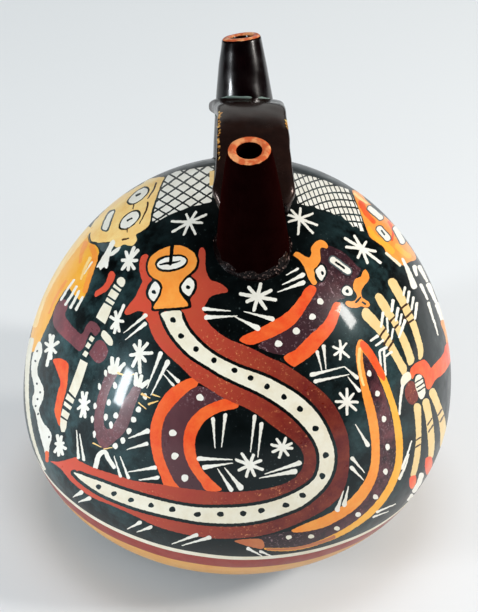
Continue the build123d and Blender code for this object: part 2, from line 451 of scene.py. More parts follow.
cut_patch(
    "white_slip", (167, 176), (176, 171.5), (190, 169), (214, 166), (213.5, 186), (211.5, 202),
    (203, 203.5), (200, 205), (190, 206.5), (183, 209.5), (176, 212), (170, 214.5), (164, 217.5),
    (156, 222.5), (152, 221),
)
for number in range(-5, 7):
    x, y = 171 + 8.4 * number, 187 - 5.6 * number
    stroke("black_slip", 1.7, (x - 42, y - 25), (x, y - 1.5), (x + 42, y + 23))
    x, y = 171 + 8.0 * number, 191.5 + 4.2 * number
    stroke("black_slip", 1.7, (x - 44, y + 29), (x, y), (x + 44, y - 32))
cut_patch("ochre_slip", (209.5, 171), (214.5, 170.5), (213.5, 185), (209.5, 186))
patch(
    "black_slip", (153, 226), (152, 214), (157, 199), (162, 185), (168, 173), (160, 174), (150, 190),
    (146, 210),
)
patch(
    "ochre_slip", (164, 177), (150, 179), (140, 185), (128, 192), (118, 198), (109, 206), (101, 214),
    (94, 222), (89, 231), (89, 240), (93, 243), (102, 242.5), (111, 242), (114, 246), (118, 247.5),
    (124, 244.5), (131, 246), (135.5, 243), (137, 239), (136, 235), (141, 231.5), (147, 227.5),
    (150, 222), (151.5, 212), (155, 201), (159, 190), (162, 182),
)
stroke("black_slip", 1.6, (90.5, 229), (89.5, 236), (91, 241.5), (97, 243))
patch("slate_slip", (97, 244), (104, 243), (110.5, 243), (107, 248), (103, 252), (99.5, 248))
# Its eyes: white almonds with a black rim and a stroke for the pupil
for eye_white, pupil in (
    (((120.3, 225), (123, 219), (128, 214.5), (134, 211.5), (138, 212.5), (139, 216), (136.5, 220.5),
      (132, 225), (126.5, 228.3), (121.5, 227.8)), (129.7, 219.3)),
    (((128.5, 201), (131, 197), (137, 191.5), (143.5, 188), (147.5, 189), (147, 193), (143, 197.5),
      (137, 202), (131, 203.5)), (138.5, 194.5)),
):
    rim = through(eye_white, closed=True)
    middle = rim.mean(axis=0)
    coats.append(("black_slip", middle + (rim - middle) * 1.2))
    coats.append(("white_slip", rim))
    stroke("black_slip", 2.2, (pupil[0] - 2, pupil[1] + 1), (pupil[0] + 2, pupil[1] - 1), end=1.6)
stroke("umber_slip", 1.4, (133.8, 204), (133, 209), end=1.0)
stroke("umber_slip", 1.4, (127.5, 228), (127, 232), end=1.0)
stroke("umber_slip", 2.0, (147.8, 202.5), (147, 208), (144, 215), (139.5, 223.5), end=1.0)
stroke("umber_slip", 1.9, (156, 183), (154, 189), (150.5, 194.5), (147.5, 198.5), end=1.0)
stroke("umber_slip", 2.0, (122.5, 239.8), (125.5, 239), (128.5, 238.2), end=1.2)
patch(
    "slate_slip", (112.5, 209.5), (115.5, 210), (112.5, 219), (108.5, 230.5), (104.5, 231.5),
    (100.7, 229), (104, 219), (108, 212),
)
patch(
    "white_slip", (112.5, 211), (114, 211.5), (111, 219), (107.5, 228.8), (105, 230), (102.3, 228.3),
    (105, 220), (109, 213.5),
)

# Torso and raised hand along the left edge
patch(
    "yellow_slip", (93, 227), (88, 233), (89, 242), (95, 245), (99, 251), (96, 261), (91, 276), (87, 290),
    (82, 300), (75, 296), (68, 288), (61, 296), (56, 305), (52, 315), (47, 326), (42, 337), (38, 348),
    (33, 352), (29, 349), (32, 330), (40, 300), (52, 276), (68, 252), (82, 234),
)
stroke("ochre_slip", 7, (88, 230), (72, 250), (57, 272), (44, 297), (35, 325), end=5)
stroke("orange_slip", 6, (92, 247), (95, 257), (92, 268), (88, 280), (85, 291), end=5)
stroke("orange_slip", 5, (86, 243), (82, 252), (80, 262), end=3)
stroke("orange_slip", 3, (66, 281), (56, 297), (49, 313), end=2)
stroke("ochre_slip", 3, (90, 258), (85, 268), (81, 279), end=2)
stroke("cream_slip", 1.8, (92, 262), (88, 268), (84, 274), end=1)
patch(
    "purple_slip", (62, 299), (56, 306), (53, 316), (54, 326), (61, 335), (70, 343), (79, 351), (84, 347),
    (87, 339), (91, 332), (95, 336), (100, 331), (98, 325), (91, 321), (86, 326), (82, 334), (76, 330),
    (69, 322), (65, 315), (67, 309), (68, 302),
)
stroke("white_slip", 2.2, (74, 280), (67, 290), (61, 300), end=2.2)
stroke("white_slip", 2.4, (76.5, 286.5), (71, 296), (65.5, 304.5), end=2.6)
stroke("white_slip", 2.4, (79, 291), (75, 299.5), (70.5, 307.5), end=2.8)
stroke("white_slip", 2.6, (82.5, 297.5), (79, 304), (76, 309.5), end=2.8)
patch(
    "white_slip", (113.5, 239.5), (115.3, 243), (112.5, 248), (110.5, 254), (109, 259), (108, 266),
    (106.5, 268.7), (104, 267), (100.5, 270), (98.5, 267), (96.3, 267.7), (99, 262), (103.5, 255),
    (107, 248.5), (110.5, 242),
)
patch(
    "white_slip", (120.8, 246.3), (119, 250.5), (115, 254), (110.5, 256.3), (109.5, 254.5), (113, 250.5),
    (117, 248),
)
patch(
    "red_slip", (112.5, 271), (115.2, 275), (113.5, 280.5), (110, 286.5), (106, 291.5), (100, 294.5),
    (95, 297), (95, 292.5), (99, 289), (104, 285), (107, 279), (109, 273),
)
patch(
    "purple_slip", (92, 348), (96, 342), (101, 340), (106, 345), (108, 351), (106, 357), (102, 362),
    (97, 363), (92, 358), (89, 353),
)

# Staff with bindings
patch("cream_slip", (116.5, 282), (118.5, 278), (122, 277), (125, 280), (124.5, 285), (121.5, 287))
for corners in (
    ((114.5, 284), (121.5, 289.5), (120, 292), (112.7, 286.8)),
    ((111.5, 288.8), (119, 294), (115.3, 300.2), (107.7, 295.2)),
    ((107, 297), (114.6, 302.3), (112.8, 305.4), (105.3, 300.5)),
    ((104, 302.8), (111.8, 307), (108.5, 316), (105, 324.3), (96, 317.5), (100, 309)),
    ((91, 335.5), (94.7, 338), (92.2, 342.3), (88.8, 339.6)),
    ((87.8, 342), (91, 345), (88.5, 349.2), (85.2, 346)),
    ((84.8, 350.5), (88.6, 353.2), (86, 357.3), (82.3, 354.6)),
    ((80.3, 359), (87.8, 363.2), (84, 375), (79.5, 388), (75.2, 398), (68.6, 391.3), (72.5, 381),
     (76.5, 370)),
    ((67.6, 393.6), (74.3, 399.8), (73, 404), (65.4, 398.6)),
    ((64.5, 401), (72, 407), (70.2, 410.2), (63.4, 404.8)),
    ((62.6, 408.6), (69.6, 414), (67.2, 420), (61, 415.3)),
    ((60.5, 417.5), (67, 421.6), (66, 428), (64.5, 432), (61.5, 432), (60, 426)),
):
    cut_patch("cream_slip", *corners)
patch(
    "cream_slip", (103, 330.5), (106, 331.5), (110, 336), (113, 341), (112, 345.5), (108.5, 345),
    (104, 340), (101, 335.5),
)
patch(
    "red_orange_slip", (53, 360), (59, 358.3), (66, 361), (68.6, 366), (68, 373), (67.5, 382), (66, 391),
    (63.5, 400), (61.5, 409), (60.5, 418), (59.5, 426), (56.5, 419), (54.5, 411), (56, 401), (58, 391),
    (60.5, 383), (58.5, 375), (55.5, 367),
)

# Dotted white serpent at the far left
patch(
    "white_slip", (38.5, 341.5), (41.6, 344), (42, 353), (39.6, 360), (37.6, 367), (37.6, 374),
    (40.4, 381), (43.4, 388), (43.6, 396), (41.6, 403), (39, 409), (40.4, 416), (43.6, 423),
    (47.4, 427.5), (50.6, 432), (51.6, 438), (49.6, 445), (49, 452), (48.6, 458), (46, 456), (43.4, 447),
    (40.8, 438), (38.4, 428), (37, 420), (35.2, 412), (32.6, 405), (32.4, 398), (34.4, 391), (33.4, 383),
    (31.6, 375), (31.2, 366), (32.4, 357), (35, 349),
)
stroke("red_orange_slip", 4, (47, 453), (47, 461), end=3)
dots(
    "black_slip", 2, 2.4, (37, 351), (35.5, 361), (37, 383.5), (40, 392.5), (37.5, 399), (35.5, 406),
    (38, 414), (49, 437),
)

# Forked plant with clawed ends
patch(
    "purple_slip", (112, 367), (106, 374), (102, 384), (98, 396), (95.5, 408), (94, 420), (94.5, 431),
    (97.5, 441), (102, 448), (108, 447), (114, 442), (121, 436), (127, 428), (131, 418), (134, 408),
    (138, 398), (141, 388), (135, 385), (129, 393), (123, 402), (119, 412), (115, 422), (109, 429),
    (104.5, 426), (103.5, 416), (105.5, 404), (109, 392), (114, 381), (118, 372),
)
for claw in (
    ((113, 372), (112, 358)), ((115, 372), (118, 359)), ((117, 372), (124, 364)),
    ((110, 368), (110, 372)), ((136, 384), (136, 374)), ((139, 385), (141.5, 376)),
    ((142, 386), (148.5, 381)),
):
    stroke("white_slip", 5, *claw, end=3.6)
stroke("white_slip", 5, (95.5, 467), (99, 455), (105, 452), (108, 458), (114, 467), end=4)
dots("white_slip", 3.2, 7, (99.5, 386.5), (95, 406), (92.3, 419.2), (94.3, 434.2), (105.6, 373))
dots("white_slip", 4.2, 7, (115, 385.5), (108.8, 402.5), (105.8, 417), (111, 425), (145, 396.5))
dots(
    "white_slip", 5.2, 6.3, (115.8, 415.5), (133.5, 419.6), (129, 431), (122.8, 440.5), (115.3, 446),
    (138.5, 409.5),
)

# Right figure: net headdress, face and ribbon

cut_patch(
    "white_slip", (294, 173), (300, 174), (308, 175.5), (318, 178), (328, 181.5), (338, 186),
    (348, 189.5), (352, 195), (355, 202), (359, 210), (362, 220), (364, 231), (360.5, 231), (356.5, 226),
    (353, 227), (349.5, 222.5), (345, 219.5), (341, 215), (336, 216), (331.5, 212.5), (325.5, 211),
    (317, 208.5), (312.5, 205.5), (308, 206), (303.5, 205), (297.5, 203.5), (296.5, 197), (294.5, 190),
    (293.5, 181),
)
for number in range(8):
    x, y = 294 + 2.7 * number, 180.5 + 7.2 * number
    stroke(
        "black_slip", 1.6, (x - 6, y + 3.5), (x + 14, y - 5.5), (x + 32, y - 9.5), (x + 52, y - 8),
        (x + 70, y - 3),
    )
for number in range(17):
    x, y = 287 + 4.6 * number, 176 - 0.6 * number + 0.05 * number**2
    stroke("black_slip", 1.1, (x - 1, y - 5), (x + 10, y + 22), (x + 22, y + 54))
patch(
    "orange_slip", (352.5, 190), (354, 196), (357, 204), (361, 214), (365.5, 226), (370, 237), (378, 243),
    (384, 248), (388, 255.5), (396, 261), (403.5, 265.5), (409, 262), (416, 259), (414, 252),
    (407.5, 243), (397, 228), (385.5, 217), (369, 203), (361, 194),
)
stroke("red_orange_slip", 6, (361, 203), (366, 213), (374, 222), end=4)
stroke("red_orange_slip", 3, (389, 222), (393, 231), (392, 240), end=2)
stroke("yellow_slip", 4, (369, 228), (375, 237), (385, 244), (392, 251), end=6)
stroke("yellow_slip", 5, (397, 246), (403, 252), (409, 256), end=5)
stroke("ochre_slip", 3, (355, 194), (361, 199), (367, 203), end=2)
for first, last, wide in (
    ((370, 208.5), (380.5, 217.5), 5), ((379.5, 229), (387.5, 238), 6),
    ((395.5, 228.5), (402.5, 241.5), 5),
):
    stroke("slate_slip", wide + 2.2, first, last)
    stroke("white_slip", wide, first, last)
stroke("slate_slip", 1.8, (381.5, 230.8), (384.5, 234.5))
stroke("cream_slip", 2.4, (386, 253), (393, 259), (400, 265), end=3)
stroke("white_slip", 2.4, (402.5, 259), (407, 268), (411, 278), (414, 286), end=6.4)
for width, thick, thin in (
    (4.5, (414.5, 267), (416.5, 275)), (4.2, (419.5, 267), (427, 281)), (3.4, (421, 285), (427.5, 299)),
    (5, (428.5, 285), (436, 302)), (3, (428.5, 303), (434, 322)), (2, (434, 320), (438, 335)),
    (6, (438, 305), (445.5, 328)),
):
    stroke("white_slip", width, thick, thin, end=width * 0.6)
stroke("orange_slip", 5, (443, 322), (447.5, 335), (449.5, 348), end=5)

# Bundle of darts with bindings and fletching
for dart in (
    ((388, 283), (390.5, 278.5), (395.5, 279.5), (403, 292.5), (408, 303), (411.5, 312), (416, 322),
     (420, 335), (423.2, 348), (422.5, 357), (418.8, 359.5), (417.5, 349), (413.5, 335), (409.5, 324),
     (404.5, 315), (401.5, 307.5), (395, 296)),
    ((375, 297.5), (376.5, 293.8), (380, 293.5), (386, 300), (392, 311), (397, 319), (401, 327),
     (407, 338), (412, 351), (414.3, 360.5), (409, 365.5), (405.5, 355.5), (400.5, 342.5), (396, 331.5),
     (391, 322.5), (386, 317), (380, 307.5)),
    ((362, 316.5), (363, 309), (367, 308), (373.5, 314), (380, 321.5), (385.5, 328), (391, 338.5),
     (397, 349.5), (403, 360.5), (407, 368), (403.2, 375.5), (395, 361.5), (388, 349.5), (382, 339),
     (376, 331.5), (368, 323.5)),
):
    patch("straw_slip", *dart)
for first, last in (
    ((400, 309.5), (407, 303.8)), ((403.5, 319.5), (412, 312)), ((407.5, 323.5), (413.5, 319.5)),
    ((390, 321.5), (395.5, 316)), ((393.5, 329.5), (400.5, 322)), ((380, 336.5), (385.5, 328.5)),
    ((383.5, 345), (389.5, 336)), ((388, 349.5), (393.5, 340.5)),
):
    stroke("umber_slip", 2.0, first, last)
for width, first, last in (
    (2.6, (405, 287.5), (403.5, 295)), (3, (409, 292), (407.5, 302)),
    (2.6, (413.5, 297.5), (411.5, 309.5)), (3, (416.8, 303.5), (415, 318.5)),
    (3.4, (393, 300.5), (391.8, 311)), (3, (398, 308.5), (396, 320.5)),
    (2.4, (401.5, 314.5), (399.8, 324.5)), (3, (405, 320.5), (401, 331.5)),
    (3, (383, 313), (381.2, 326.5)), (2.2, (387, 318.5), (388, 332)), (2.2, (393, 329), (391.5, 339)),
    (2.6, (403, 327), (399, 337)), (3, (377.5, 336), (371, 340.5)), (2.6, (383, 340.5), (376, 345.5)),
    (3, (386.5, 347.5), (380, 350.5)), (2.4, (379.5, 352), (381, 366)),
    (2.4, (384, 350.5), (385.6, 374.5)), (2.6, (391.5, 352), (386, 356)),
):
    stroke("white_slip", width, first, last, end=width * 0.8)

# Arm and hand that hold the darts, and the darts' lower ends
patch(
    "red_orange_slip", (410, 372), (412.5, 366), (418, 362), (424, 359.7), (428, 363), (431, 368),
    (434, 364.5), (439, 359.5), (443.5, 353), (445.5, 345), (449.5, 341), (452, 350), (451, 360),
    (447, 368.5), (442, 375), (436, 379), (433, 384), (430, 389), (426.5, 388), (424.5, 379),
    (421, 374.3), (416, 374), (412, 379),
)
patch(
    "red_slip", (408, 382.5), (412, 381), (416, 384), (419, 391), (418, 398.5), (414.5, 404), (410, 404),
    (406, 398), (405, 390),
)
patch(
    "cream_slip", (416, 376.5), (421, 374.8), (423.3, 381), (425.3, 389), (424.5, 396.5), (420.3, 399),
    (417, 391.5), (415, 384),
)
for first, last in (
    ((415.5, 383), (422, 378.5)), ((417, 387.5), (424, 382.5)), ((418, 391.5), (425, 387)),
):
    stroke("black_slip", 1.5, first, last)
patch("cream_slip", (401, 378.5), (407.5, 371.5), (410.7, 374.5), (411, 379), (406, 383.5), (402, 388.5))
stroke("white_slip", 3, (402.5, 386), (400.5, 400), (399.5, 414), end=2)
for dart in (
    ((414, 405), (415.2, 420), (416, 438), (414.5, 454), (412, 468), (410.7, 476.5), (415.3, 475.5),
     (418, 467), (420.3, 454), (421.2, 438), (421.2, 420), (420.5, 405)),
    ((422.5, 402), (425.5, 418), (427.5, 435), (428.5, 450), (428.5, 458), (432.7, 457.5), (434.6, 445),
     (434, 430), (431.8, 414), (428.3, 399)),
    ((429, 393), (434, 405), (438.2, 418), (440.3, 433), (440.3, 447), (444.3, 444), (446.2, 430),
     (444, 414), (439, 399.5), (434, 388)),
):
    patch("straw_slip", *dart)
patch("red_orange_slip", (410.3, 477), (415.3, 475.3), (416.3, 481), (414, 487), (411, 489), (409.3, 484))
patch("red_orange_slip", (426, 458), (431.5, 457), (432.3, 465), (430, 472), (427, 475), (425, 468))
for first, last in (
    ((416.4, 440.2), (420.6, 437.3)), ((415.8, 447.3), (420.4, 444.2)), ((427.6, 425), (431.8, 418.5)),
    ((428.6, 432), (433, 425)), ((438, 415.5), (442, 409)), ((440, 422), (444, 415)),
):
    stroke("umber_slip", 1.4, first, last)
stroke("white_slip", 5, (421.5, 475), (419, 483), (414, 491), end=4)
stroke("white_slip", 3, (412, 495), (408, 500), end=2)
stroke("white_slip", 1.2, (411.5, 441), (407.5, 454), (401.8, 468.5), end=2.6)
stroke("white_slip", 1.0, (409, 454.5), (405, 467), (399.5, 478.5), end=3.0)

# Serpent that runs down the left of the front
patch(
    "purple_slip", (196, 386), (183, 394), (170, 408), (162, 425), (160, 445), (166, 466), (176, 488),
    (205, 490), (192, 470), (186, 450), (187, 430), (196, 413), (215, 402), (226, 400), (214, 391),
)
patch(
    "red_orange_slip", (191, 377.8), (183, 381), (176, 385), (169, 390), (163, 397), (158, 405),
    (154, 414), (151, 424), (150, 433), (150.5, 442), (151.7, 450), (154, 460), (157, 468), (161, 477),
    (166, 489), (179.5, 489), (174, 481), (170, 473), (166, 464), (163, 455), (161.5, 445), (161.5, 433),
    (163, 424), (166, 416), (171, 409), (177, 402), (183, 396), (190, 390), (196.5, 386.3), (198.3, 382),
    (196, 378.5),
)
patch(
    "red_orange_slip", (236, 396), (228, 398), (220, 400), (210, 404), (202, 408), (195, 414), (189, 421),
    (185, 430), (183.5, 438), (183.5, 447), (185, 456), (189, 466), (194, 474), (200, 482), (207, 491),
    (221.5, 490), (214, 482), (208, 476), (202, 469), (197.5, 460), (195.5, 451), (195, 443),
    (196.5, 435), (200, 428), (205, 421), (212, 416), (220, 412), (228, 410), (238, 407),
)
dots("white_slip", 7.4, 7, (200, 397.5), (172.7, 433), (174.8, 456), (184.8, 478))

# Serpent at the upper right, with its own head
patch(
    "purple_slip", (322, 248), (328, 245.5), (335, 248), (343, 252), (351, 259), (357, 266), (361, 269),
    (358, 276), (353, 282), (352, 291), (345, 298), (337, 301), (333, 312), (326, 322), (316, 332),
    (304, 343), (288, 354), (272, 353), (258, 346), (268, 339), (284, 331), (298, 320), (307, 306),
    (313, 294), (316, 285), (320, 281), (318, 268), (319, 257),
)
patch(
    "red_orange_slip", (306, 288), (310.5, 285), (315.5, 287), (316.3, 291), (312, 298.5), (307, 306.5),
    (303, 313), (298, 320), (291, 327), (282, 332.5), (272, 337.5), (262, 341.5), (252, 344.7),
    (244.5, 343.5), (239.5, 340), (243, 336), (252, 332), (262, 327), (271, 322), (280, 317), (287, 312),
    (293, 306), (300, 297), (303.5, 291),
)
patch(
    "red_orange_slip", (334, 303), (330, 311), (325.5, 320), (318, 328), (310, 335), (303, 342),
    (295, 350), (287, 354), (283.7, 358), (288.5, 363.5), (294, 366.7), (300, 363.5), (308, 358),
    (316, 351), (321.5, 344), (328, 337), (334.5, 328), (339, 316), (341, 305), (338, 302),
)
dots("white_slip", 6.5, 6.5, (320.3, 301.4), (312.4, 316.8))
dots("white_slip", 7.3, 7, (296.3, 331), (278.4, 343.7))
patch(
    "orange_slip", (293.3, 254.8), (295.7, 251.8), (300, 253), (306, 256.7), (310, 257), (311.3, 253),
    (311, 248), (313.5, 244), (317, 241), (321, 239.8), (325, 241.5), (328, 246), (326.5, 248.7),
    (323, 247.3), (320.5, 248.7), (320, 253), (320.7, 258), (319.5, 263), (316.5, 267), (314.5, 272),
    (315, 278), (317, 282.7), (314, 285.3), (310.5, 282), (307.5, 276), (304.5, 268), (301, 262),
    (297, 258),
)
patch(
    "black_slip", (322.5, 263), (327, 268.5), (327, 275), (322.5, 282), (318, 280), (314.7, 273),
    (314, 269.5), (318, 265.5),
)
patch(
    "white_slip", (322, 264.8), (325.3, 269.5), (325.4, 274.5), (321.6, 280.6), (318.5, 278),
    (315.5, 271), (318.5, 267),
)
dots("black_slip", 3, 4, (322.4, 273))
stroke("slate_slip", 9, (332.8, 259.8), (348, 271.2))
stroke("white_slip", 6.2, (332.8, 259.8), (348, 271.2))
stroke("black_slip", 2.2, (336, 262.3), (344, 268))
patch(
    "orange_slip", (365.5, 269.3), (368, 273), (369.4, 278), (366.5, 283), (363, 287.3), (361.3, 292),
    (362, 297), (366, 300), (369.4, 303), (369.6, 306.3), (366, 307.6), (361, 306.3), (357, 307.7),
    (350, 307.3), (345.5, 304), (346.5, 301), (351, 301.3), (355, 300.5), (357, 297), (356, 293),
    (353.3, 289), (353.5, 283), (356, 278.5), (361, 276.5), (362.5, 272),
)
stroke("black_slip", 2, (355.8, 302.3), (360.5, 297.6))
stroke("black_slip", 2, (362.5, 302.3), (365.5, 304))
dots("black_slip", 13.4, 12.6, (347.3, 291))
dots("white_slip", 10.8, 10, (347.3, 291))
dots("black_slip", 3.4, 4, (347.3, 291.3))

# Long serpent that curls round the lower right
patch(
    "purple_slip", (361, 350), (363, 362), (366, 378), (371, 396), (376, 415), (379, 435), (379, 457),
    (375, 477), (364, 495), (347, 510), (325, 520), (300, 529), (275, 534), (258, 539), (266, 548),
    (292, 547), (320, 541), (345, 530), (366, 514), (383, 495), (393, 474), (396, 450), (394, 428),
    (388, 404), (380, 382), (372, 364), (365, 352),
)
patch(
    "orange_slip", (359, 339.8), (356, 348), (356.2, 360), (358, 372), (360.5, 386), (363.5, 400),
    (367, 415), (369.7, 430), (371.3, 443), (371.3, 456), (370, 467), (366, 478), (359, 489), (350, 499),
    (340, 507.3), (325, 515.5), (312, 521), (300, 526), (291.5, 530.5), (296, 532.5), (309, 531),
    (325, 527), (340, 519.5), (353, 511), (363, 501.5), (371, 490), (376.8, 477), (379.5, 462),
    (379.7, 445), (378.7, 428), (376, 413), (372, 398), (368, 385), (364.8, 371), (363, 360), (363, 350),
    (366, 344.5), (363.5, 340.5),
)
patch(
    "yellow_slip", (360, 341), (366, 343), (372, 350), (379, 362), (385, 374), (391, 390), (396, 405),
    (400, 420), (402.3, 435), (403, 450), (401.8, 465), (398.2, 478), (393, 489.5), (386, 500.5),
    (377, 511), (366, 520.5), (352, 530), (338, 537.5), (322, 543.5), (305, 548.5), (288, 551),
    (268, 550.5), (264, 548), (270, 548), (290, 547.6), (307, 544.6), (322, 539.4), (338, 532),
    (352, 523.6), (364, 514.2), (375, 503), (384, 490.6), (390.6, 477.5), (394.7, 465), (396, 450),
    (395, 435), (393, 420), (390, 407), (385, 392), (380, 380), (374, 368), (367.5, 357.5), (361, 349),
)
patch(
    "red_orange_slip", (364, 341), (372, 350), (379, 362), (385, 375), (384, 381), (378.5, 376),
    (373, 366), (367, 356.5), (361, 348.5), (360, 342),
)
stroke("ochre_slip", 3.2, (359.8, 349), (358.8, 362), (361, 376), (363.6, 385), end=2.4)
stroke("rust_slip", 3.4, (334, 537), (318, 543), (300, 547.6), (284, 549.4), (267, 549.2), end=2)
patch(
    "rust_slip", (234.5, 541), (243, 539.3), (258, 538.8), (263, 541), (264.3, 546), (262, 549),
    (250, 546.7), (240, 543.7),
)
dots("white_slip", 4.6, 6.4, (369.2, 373.5), (377.5, 393.5), (384, 419), (387.6, 447), (385.5, 471.5))
dots("white_slip", 5.4, 5, (375.5, 497), (358.2, 514.5))
dots("cream_slip", 6, 4.2, (337, 528.4), (311.2, 536.5), (288.8, 537.3))

# Great serpent of the front: body, then head
spine_red_inner = (
    (146, 312), (148.5, 323), (151.5, 333), (157, 343), (164, 351.5), (172, 359), (181, 367), (190, 376),
    (200, 383.5), (210, 389.5), (220, 396), (232, 402), (246, 408), (259, 415.5), (270, 424), (281, 432),
    (290, 438), (297, 444.5), (301.5, 450), (303.8, 457), (303.5, 464), (300.5, 471), (295, 477.5),
    (287, 482.5), (278, 485.8), (265, 489), (250, 491), (235, 492), (220, 491.8), (205, 490.7),
    (190, 489), (175, 487), (160, 484.3), (145, 482.5), (131, 480), (122, 477), (112, 473.7),
    (102, 470.7), (92, 467), (84, 463.3), (78.5, 460.5), (76.5, 457.3), (72, 458.2), (66, 460),
    (58, 461.7),
)
spine_red_outer = (
    (50.5, 461.3), (57, 465.7), (63, 471.3), (68.5, 478.5), (74, 484), (80, 489), (88, 494.7),
    (97, 499.7), (107, 503.5), (120, 509), (135, 516), (150, 523.5), (160, 527.5), (175, 532),
    (190, 535.3), (205, 537.5), (220, 538.6), (240, 538.2), (255, 536.7), (270, 533.6), (285, 528.7),
    (300, 522.6), (312, 517), (325, 509.5), (335, 501.5), (341, 495), (345, 486.5), (347.7, 477),
    (349, 465), (349.3, 452), (348.5, 439), (345.5, 428), (340.5, 416), (333.5, 404), (325, 394),
    (315, 385.3), (306, 378.3), (297, 372), (288, 366), (280, 361.8), (270, 357.7), (260, 352.5),
    (250, 347.6), (240, 343.6), (230, 339.7), (221, 334.3), (213, 327.8), (207, 320.8), (203, 313),
)
spine_white_inner = (
    (161.6, 312.9), (164, 320), (167, 327), (171, 334), (177, 342), (184, 349.7), (191, 356), (200, 362),
    (210, 368), (219, 373.7), (228, 378.3), (240, 384), (252, 389.3), (265, 396), (278, 404), (290, 413),
    (300, 422.3), (308, 431.5), (314, 440), (318.3, 450), (319.6, 460), (318.4, 470), (315, 478),
    (309, 484), (300, 490), (290, 495), (278, 499.8), (265, 503.4), (250, 506), (235, 507.4),
    (220, 507.8), (205, 507.8), (190, 506.5), (175, 504), (160, 500.5), (145, 496.5), (130, 492),
    (115, 487), (100, 481.3), (88, 477.2), (79, 473.7),
)
spine_white_outer = (
    (73.8, 472.8), (80, 479.3), (88, 485.5), (98, 492), (110, 498), (125, 504), (140, 509), (155, 513),
    (170, 516.5), (185, 519.5), (200, 522), (217, 523.3), (232, 523.5), (247, 522.5), (262, 520),
    (275, 516.5), (288, 512), (300, 507), (310, 500.3), (320, 491.5), (327, 483), (332.3, 472),
    (334.4, 460), (333.5, 448), (330, 437), (325, 425.5), (318, 414.5), (310, 405.3), (300, 396.5),
    (290, 389.7), (280, 384), (270, 378.7), (260, 374.5), (250, 371), (240, 367.5), (230, 363),
    (220, 358), (212, 353), (204, 346.8), (196, 339), (190, 332), (185.5, 325), (182, 317),
    (179.8, 310.6),
)
patch("red_slip", *spine_red_inner, *spine_red_outer)
for edge in (spine_white_inner, spine_white_outer):
    stroke("black_slip", 6.6, *edge)
patch("cream_slip", *spine_white_inner, *spine_white_outer)
dots(
    "black_slip", 6, 5.8, (173, 320), (181, 336), (196, 349), (214, 360.3), (234.5, 370.3), (250.6, 378),
    (267, 386.5), (284, 397),
)
dots("black_slip", 6.4, 6.2, (300, 409), (315.5, 428.5), (325.7, 455.2), (322.3, 476))
dots(
    "black_slip", 7, 5.4, (302.6, 495.3), (285.8, 505.2), (261.3, 510.5), (243.2, 513.5), (220.5, 514.2),
    (197.5, 514.4), (172.3, 509.4),
)
dots("black_slip", 5.8, 5, (151, 505.3), (131, 500), (114, 493.6), (98.6, 486.8))

patch(
    "red_slip", (146, 254), (142.5, 255.5), (140.2, 259), (139.3, 265), (139.6, 271), (141.2, 277.5),
    (142.4, 281.5), (140.5, 285.7), (138, 291), (134.5, 298), (129.5, 304), (124.6, 311.5), (126, 314.8),
    (131, 314), (135, 311.8), (139.5, 311), (143.5, 312), (147.8, 316), (156, 312), (162, 300),
    (160, 285), (151, 274), (149.5, 258),
)
patch(
    "red_slip", (201.5, 247.3), (204.7, 249.3), (205.6, 255), (205.3, 262), (206, 270), (208.5, 277),
    (211.5, 280.5), (217, 282), (223, 285), (227.6, 289.5), (227.3, 292.2), (222, 293.2), (214, 295),
    (209.5, 297.7), (206.5, 303), (203.3, 309), (204.5, 316), (196, 318), (186, 314), (181, 309),
    (182, 296), (184, 280), (193, 270), (198, 262), (198.7, 252),
)
patch(
    "black_slip", (173, 242.8), (183, 243.5), (191, 247.5), (196.7, 252.5), (199.3, 259), (199, 265),
    (196.5, 271), (191, 276), (196, 280), (197.2, 286), (195, 293), (190.5, 299), (191, 307.5),
    (178, 310), (165, 310.7), (152, 311), (151.5, 306), (150.5, 301.5), (146.5, 297), (145.7, 291.5),
    (148, 284.5), (152, 279.5), (148, 275.5), (145.7, 269), (146, 263), (148, 257), (152, 252.5),
    (158, 248.7), (165, 245),
)
patch(
    "orange_slip", (174.5, 245.2), (182, 245.8), (189, 249), (194, 253), (196.8, 259), (196.5, 264),
    (194, 269.5), (189, 274), (184, 278.5), (180, 284), (178.8, 288), (180, 293), (184, 298.5),
    (187, 302.5), (187.8, 306), (177, 307.5), (165, 308.3), (154, 308.8), (155, 304), (158.5, 299),
    (161, 294), (162, 288), (161, 283), (158, 280.5), (153, 277.5), (149.5, 274), (147.8, 268.5),
    (148, 264), (149.8, 258.5), (153, 254.5), (158, 251), (164, 248), (169, 246.3),
)
patch(
    "black_slip", (155, 264), (157, 259.5), (162, 256.5), (170, 255), (178, 254.3), (184, 255.3),
    (187.8, 259), (187.5, 263.5), (184.5, 267), (179, 269.8), (171, 271.8), (163, 271.8), (157.5, 269.5),
)
patch(
    "white_slip", (157, 264.5), (160, 260.5), (165, 258), (172, 256.8), (179, 256.3), (184, 257.5),
    (186, 260), (185.5, 262.8), (182, 265.8), (177, 268), (170, 269.5), (163, 269.3), (158.5, 267.4),
)
stroke("black_slip", 4.4, (172.6, 239.5), (171.6, 252), (170.3, 264), end=3.2)
stroke("black_slip", 1.4, (159.8, 264.8), (165, 263.6), (171, 263), end=3.2)
stroke("black_slip", 3, (170, 263.2), (175, 262.3), (180, 261), end=1)
patch(
    "black_slip", (156, 279), (161.6, 284), (162.2, 289), (159, 297), (155, 302.3), (152, 302.6),
    (148, 298), (146.9, 293), (149, 286.5), (152.5, 281),
)
patch(
    "white_slip", (155.2, 281.3), (158.5, 284.5), (160, 288.5), (158.5, 294), (155.5, 299.5),
    (153, 301.2), (149.8, 297.8), (148.3, 293.2), (150, 288), (153, 283.5),
)
patch(
    "black_slip", (190, 275.3), (194, 278.7), (196.7, 284.5), (195, 291.5), (191, 297), (187.5, 298),
    (182, 293.5), (179.3, 287.3), (182.3, 281), (186, 277.5),
)
